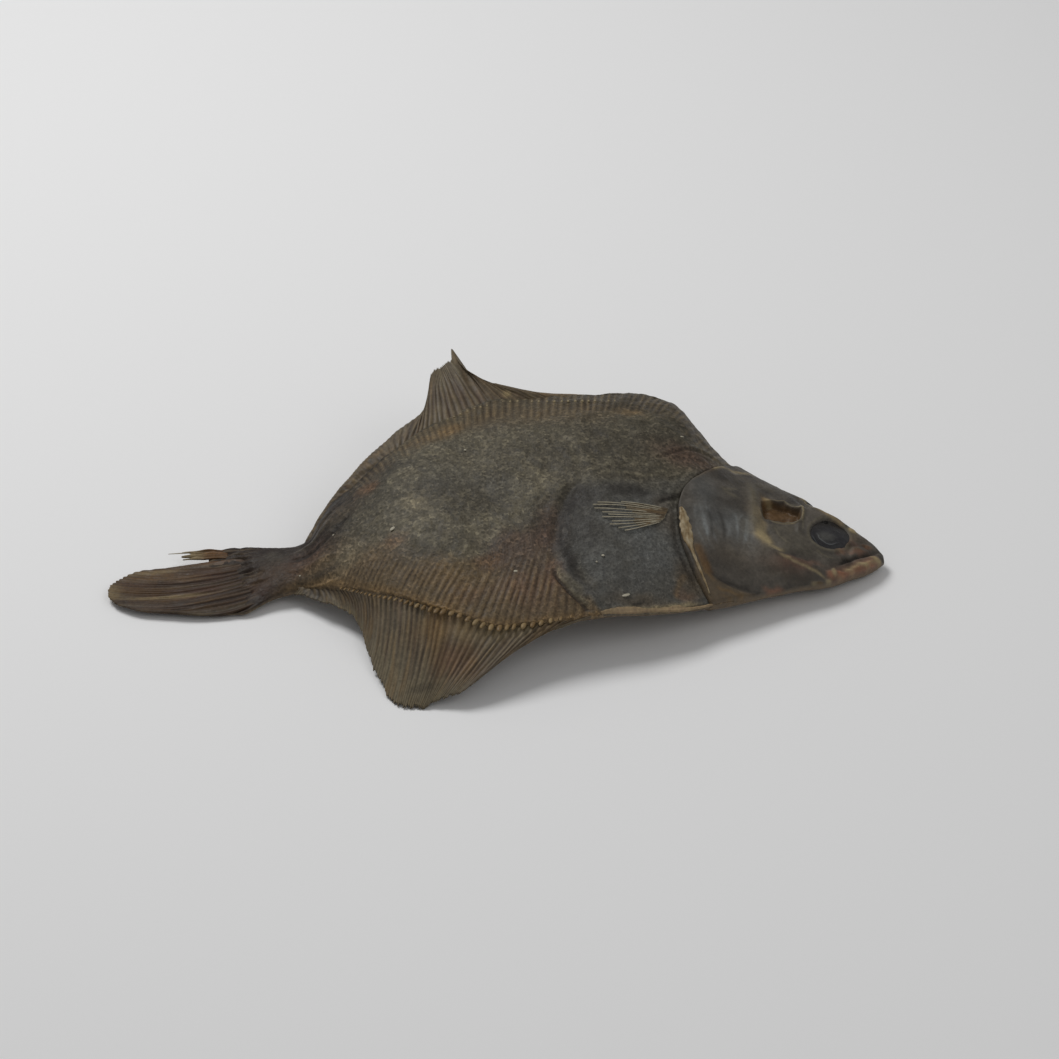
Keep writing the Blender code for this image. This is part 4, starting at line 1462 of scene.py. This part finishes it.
# The size of the knobs at the foot of the fins' rays, along x.
ANAL_KNOBS = (
    (-58, 0.35), (-43, 0.5), (-30, 0.75), (-20, 1), (8, 1), (18, 0.6), (26, 0.4), (34, 0.3),
)
ANAL_KNOB_INSET = (
    (-58, -0.6), (-43, -1.6), (-30, -1.5), (-20, -0.8), (8, -0.5), (14, -0.1), (20, 0.5), (34, 1),
)
KNOB_DROP = 0.8
KNOB_RADII = (0.9, 2.0, 0.65)
DORSAL_KNOBS = (
    (-62, 0.5), (-34, 0.5), (0, 0.9), (30, 0.9), (52, 0.6),
)
DORSAL_KNOB_INSET = (
    (-62, 0.8), (-34, 1.5), (-22, 1), (-8, 3), (0, 2.6), (8, 2.6), (21, 6), (36, 9.6), (52, 10.6),
)

# The pectoral fin's rays, in plan: base x, y, middle x, y, tip x, y.
PECTORAL_RAYS = (
    (61.7, -14.3, 52.7, -15, 43.8, -15.5), (61.5, -14.8, 47, -16.4, 35.2, -16.5),
    (61.2, -15.3, 47, -17.3, 33.4, -17.6), (60.8, -16.3, 47.2, -19, 33.9, -19.2),
    (60.4, -17.1, 47.5, -20.2, 36.4, -20.9), (60.1, -17.6, 49.3, -20.8, 38.6, -21.8),
    (59.9, -18.3, 48, -21.9, 36.1, -23.1), (59.6, -18.9, 48.9, -23.1, 39.5, -24.6),
    (59, -19.7, 48.9, -24.2, 38.6, -26), (58.3, -20.4, 49.3, -25, 41.6, -27.1),
    (57.6, -21.2, 50.2, -25.6, 43.8, -27.8),
)

# Bright flecks of scale: x, y, half-length, half-width, turn.
FLECKS = (
    (42.5, -50.5, 1.6, 0.7, 0.3), (35.6, -38, 0.6, 0.5, 0), (33.1, -40.3, 0.4, 0.35, 0),
    (4.4, -42.4, 0.9, 0.6, 0.1), (-37.5, -17.7, 1.4, 0.65, 0.9), (-8.8, 18.3, 0.5, 0.4, 0),
    (71.7, 25.5, 0.7, 0.3, -0.3), (-58.4, -6.2, 0.5, 0.3, 0.8), (-71.2, -14.9, 0.5, 0.3, 0.4),
)

# Strips of bared membrane: x, y, half-width.
GILL_STRIP = (
    (66.4, -13.6, 0.6), (66.8, -15.4, 1.3), (67, -18.4, 1.9), (67.3, -24, 2.1), (67.8, -28, 1.4),
    (68.8, -31.6, 0.7), (70.4, -37, 0.45), (72.2, -42, 0.35), (73, -45, 0.25),
)
BELLY_RIM = (
    (33, -56.8, 0.3), (38, -55.8, 0.8), (44, -55, 1), (50, -54.1, 0.6), (56, -53, 0.7),
    (60, -51.8, 0.9), (63, -51, 1.2), (66.5, -50, 0.6), (74, -47.2, 0.4),
)


DORSAL_KNOB_RADII = (0.55, 0.7, 0.5)
DORSAL_KNOB_SINK = 0.45
# How far inside the edge the skin's height is read for the knobs outside it.
SKIN_INSET = 0.8
FLECK_HALF = 0.3
# The share of the pectoral rays that the membrane covers, and how far their tips fork.
WEB_SHARE = 0.55
RAY_FORK = 0.16
# The angle in plan at which the eyes' wrinkles lie.
WRINKLED_SIDE = 4.3


def knob_row(side, sizes, insets):
    """A row of knobs, one for each ray: x, y, size, where the skin starts, and the skin's height there."""
    x = np.linspace(sizes[0][0], sizes[-1][0], 4000)
    row = smooth(side.edge, 1, x) + side.inward * smooth(insets, 1, x)
    count = ray_phase(x, row, side)
    at = np.interp(np.arange(np.ceil(count[0]), count[-1]), count, x)
    y = np.interp(at, x, row)
    size = smooth(sizes, 1, at) * (1 + 0.15 * hills(at, 0 * at, 1.7, 91))
    edge = smooth(side.edge, 1, at) + side.inward * SKIN_INSET
    inside = np.maximum(y, edge) if side.inward > 0 else np.minimum(y, edge)
    return at, y, size, edge, eyed_side(at, inside), np.interp(at, x, np.gradient(row, x))


def make_anal_knobs(material):
    """Tall uneven knobs where the anal fin's rays leave the body."""
    at, y, size, edge, height, _ = knob_row(LOWER, ANAL_KNOBS, ANAL_KNOB_INSET)
    height = height - KNOB_DROP * np.maximum(edge - SKIN_INSET - y, 0)
    radii = np.array(KNOB_RADII) * size[:, None]
    radii = radii * (1 + 0.22 * np.stack([hills(at * 3, 0 * at, 1.3, k) for k in (92, 93, 94)], 1))
    places = np.stack([at, y - 0.2 * size, height - 0.45 * size], 1)
    uneven = hills(at * 2, 0 * at, 1.7, 97)
    fields = {"amber": 1.0 + 0.2 * uneven, "cream": 0.22 * size + 0.25 * uneven}
    turns = np.arctan(-smooth(LOWER_LEAN, 1, at)) + 0.2 * hills(at * 2, 0 * at, 1.3, 98)
    beads("anal_knobs", places, turns, radii, material, fields)


def make_dorsal_knobs(material):
    """Small round knobs in the striped band below the dorsal fin, darker behind."""
    at, y, size, _, height, slope = knob_row(UPPER, DORSAL_KNOBS, DORSAL_KNOB_INSET)
    front = fade(at, -34, 0)
    radii = np.array(DORSAL_KNOB_RADII) * size[:, None]
    places = np.stack([at, y, height - DORSAL_KNOB_SINK], 1)
    fields = {"cream": 0.75 * front, "pale": 0.3 + 0.3 * front, "dark": 0.5 * (1 - front)}
    beads("dorsal_knobs", places, np.arctan(slope), radii, material, fields)


def make_flecks(material):
    """The bright flecks that are stuck to the skin."""
    spots = np.array(FLECKS)
    radii = np.insert(spots[:, 2:4], 2, FLECK_HALF, axis=1)
    white = {"white": np.full(len(spots), 0.9)}
    beads("flecks", on_skin(spots[:, :2], 0.08), spots[:, 4], radii, material, white)


def make_pectoral_fin(material):
    """The small fin that lies on the flank behind the gill cover: separate rays over a short membrane."""
    plan = np.array(PECTORAL_RAYS).reshape(-1, 3, 2)
    number = np.linspace(0, len(plan) - 1, 81)
    known = np.arange(len(plan))
    base, middle, tip = (
        np.stack([np.interp(number, known, plan[:, k, j]) for j in (0, 1)], 1) for k in range(3)
    )
    web = base + (tip - base) * WEB_SHARE
    bend = (base + web) / 2 + (middle - (base + tip) / 2) * 0.5
    rays = on_skin(base, 0.5), on_skin(bend, 0.5), on_skin(web, 0.2)
    shape = FinShape(60, 0.95, 0.2, 0.12, 0.05)
    ray_fin("pectoral_web", rays, number, shape, material, fin_colours(0.0, 0.5, WEB_SPOTS))
    v = np.linspace(0, 1, 26)[:, None]
    lines = []
    for a, b, c in plan:
        for fork in (-RAY_FORK, RAY_FORK):
            line = arc(a, b, c + np.array([abs(fork) * 4, fork]), v)
            lines.append(on_skin(line, 0.45 + 0.35 * np.sin(np.pi * v[:, 0])))
    spines("pectoral_rays", lines, (0.24, 0.10), (("cream", 0.5), ("pale", 1.0), ("white", 0.65)), material)


def dome(name, socket, reach, height, drop, wrinkle, material):
    """A low dome sunk in a socket, with wrinkles that follow its edge on one side."""
    middle, radii, turn = socket
    r = np.linspace(0.02, 1, 61)[:, None]
    a = np.linspace(0, 2 * np.pi, 121)[None, :-1]
    u, v = reach * radii[0] * r * np.cos(a - turn), reach * radii[1] * r * np.sin(a - turn)
    x = middle[0] + u * np.cos(turn) - v * np.sin(turn)
    y = middle[1] + u * np.sin(turn) + v * np.cos(turn)
    ground = eyed_side(x, y) - drop
    aside = np.hypot(r * np.cos(a) - 0.14, r * np.sin(a) - 0.2)
    waves = np.sin(24 * aside + 3.5 * hills(a * 2, r * 3, 1, 95))
    where = fade(np.cos(a - WRINKLED_SIDE), 0.2, 0.9) * fade(r, 0.35, 0.5) * (1 - fade(r, 0.75, 0.95))
    z = ground + height * (1 - 0.98 * r**2) ** 0.8
    z = z + wrinkle * waves * where + 0.1 * rough(x, y, 2.5, 96)
    poles = [[*middle, ground[0].mean() + height], [*middle, ground[0].mean() - 0.6]]
    points = np.concatenate([np.stack([x, y, z], 2).reshape(-1, 3), poles])
    rings, around = z.shape
    count = rings * around
    caps = fan(0, around, count), fan(count - around, around, count + 1, backwards=True)
    piece = make_mesh(name, points, [ring_quads(rings, around), np.concatenate(caps)])
    fields = {
        # a painted highlight on the crests of the wrinkles
        "painted_sheen": 0.5 * (fade(waves, 0.75, 1.0) * where),
        "belly": 0.8 * bump(r * np.cos(a), r * np.sin(a), (-0.2, -0.2, 0.4, 0.3, 1.0)),
        "dark": 0.85 * (fade(np.sin(a), -0.3, 0.8) * fade(r, 0.1, 0.9)),
    }
    paint(piece, {field: np.append(values, [0, 0]) for field, values in fields.items()})
    return finish_piece(piece, material)


def make_eyes(material):
    """The two dried eyes, sunk in their sockets."""
    dome("lower_eye", LOWER_SOCKET, 1.06, 0.9, 0.75, 0.08, material)
    dome("upper_eye", UPPER_SOCKET, 1.05, 0.8, 0.9, 0.05, material)


def make_strips(material):
    """The strips of bared membrane along the gill opening and the belly's edge."""
    cream = (("amber", 0.85, 0.2), ("rust", 0.35, 1.0), ("cream", 0.85, 0.8), ("white", 0.4, 1.3))
    ribbon("gill_strip", GILL_STRIP, COVER_LIFT + 0.15, 0.5, 101, material, cream)
    salmon = (("cream", 0.8, 0.6), ("salmon", 0.6, 0.4))
    ribbon("belly_rim", BELLY_RIM, 0.0, 0.4, 111, material, salmon)


# ---------------------------------------------------------------- stage

FLOOR_SIZE = 8
WORLD_LIGHT = 0.26
LIGHTS = (
    ("key", (-0.45, 0.55, 1.1), 0.6, 9.0),
    ("fill", (0.7, -0.6, 1.0), 1.0, 2.0),
)
CAMERA_AZIMUTH = -5.2
CAMERA_ELEVATION = 37.5
CAMERA_DISTANCE = 1.2
CAMERA_AIM = (0.0122, -0.0092, 0.0207)
CAMERA_LENS = 113.1


def make_floor():
    """A plain pale floor."""
    bpy.ops.mesh.primitive_plane_add(size=FLOOR_SIZE)
    floor = bpy.context.object
    floor.name = "floor"
    material = bpy.data.materials.new("floor_white")
    material.use_nodes = True
    shader = material.node_tree.nodes["Principled BSDF"]
    shader.inputs["Base Color"].default_value = (0.86, 0.86, 0.86, 1)
    shader.inputs["Roughness"].default_value = 0.9
    shader.inputs["Specular IOR Level"].default_value = 0.1
    floor.data.materials.append(material)


def make_lights():
    """Even light from all round, a soft key light from above and a weaker fill."""
    world = bpy.data.worlds.new("studio")
    world.use_nodes = True
    world.node_tree.nodes["Background"].inputs["Color"].default_value = (1, 1, 1, 1)
    world.node_tree.nodes["Background"].inputs["Strength"].default_value = WORLD_LIGHT
    bpy.context.scene.world = world
    for name, place, size, watts in LIGHTS:
        light = bpy.data.lights.new(name, "AREA")
        light.shape = "DISK"
        light.size = size
        light.energy = watts
        lamp = bpy.data.objects.new(name, light)
        lamp.location = place
        lamp.rotation_euler = (-Vector(place)).to_track_quat("-Z", "Y").to_euler()
        bpy.context.scene.collection.objects.link(lamp)
    bpy.context.scene.view_settings.view_transform = "Standard"


def make_camera():
    """A long lens that looks down on the eyed side from the belly's side."""
    camera = bpy.data.cameras.new("camera")
    camera.lens = CAMERA_LENS
    camera.sensor_width = 36
    turn, rise = np.radians(CAMERA_AZIMUTH), np.radians(CAMERA_ELEVATION)
    back = Vector((np.sin(turn) * np.cos(rise), -np.cos(turn) * np.cos(rise), np.sin(rise)))
    holder = bpy.data.objects.new("camera", camera)
    holder.location = Vector(CAMERA_AIM) + back * CAMERA_DISTANCE
    holder.rotation_euler = (-back).to_track_quat("-Z", "Y").to_euler()
    bpy.context.scene.collection.objects.link(holder)
    bpy.context.scene.camera = holder


def main():
    """Builds every piece with its material, then the floor, the lights and the camera."""
    body_tones = (screen(65, 60, 49), screen(73, 68, 56), screen(83, 77, 63))
    head_tones = (screen(58, 54, 50), screen(74, 69, 62), screen(90, 84, 76))
    fin_tones = (screen(74, 66, 55), screen(90, 81, 68), screen(107, 97, 82))
    tail_tones = (screen(40, 31, 24), screen(51, 39, 30), screen(64, 50, 38))
    eye_tones = (screen(30, 30, 33), screen(42, 41, 43), screen(54, 54, 54))
    make_trunk(skin_material("trunk_skin", body_tones, scale=1000.0, speckle=0.4, contrast=0.24))
    make_head(skin_material("head_skin", head_tones, contrast=0.12, relief=0.1))
    fin = skin_material("fin_skin", fin_tones, contrast=0.15, relief=0.12)
    make_fins(fin)
    tail = skin_material("tail_skin", tail_tones, contrast=0.15, ray=TAIL_RAY, relief=0.12)
    make_tail_fin(tail)
    make_tail_strip(tail)
    make_pectoral_fin(fin)
    bare = skin_material("bare_skin", fin_tones, contrast=0.12, roughness=0.45, relief=0.06)
    make_anal_knobs(bare)
    make_dorsal_knobs(bare)
    make_flecks(bare)
    make_strips(bare)
    make_eyes(skin_material("eye_skin", eye_tones, contrast=0.1, roughness=0.3, relief=0.05))
    make_floor()
    make_lights()
    make_camera()


main()
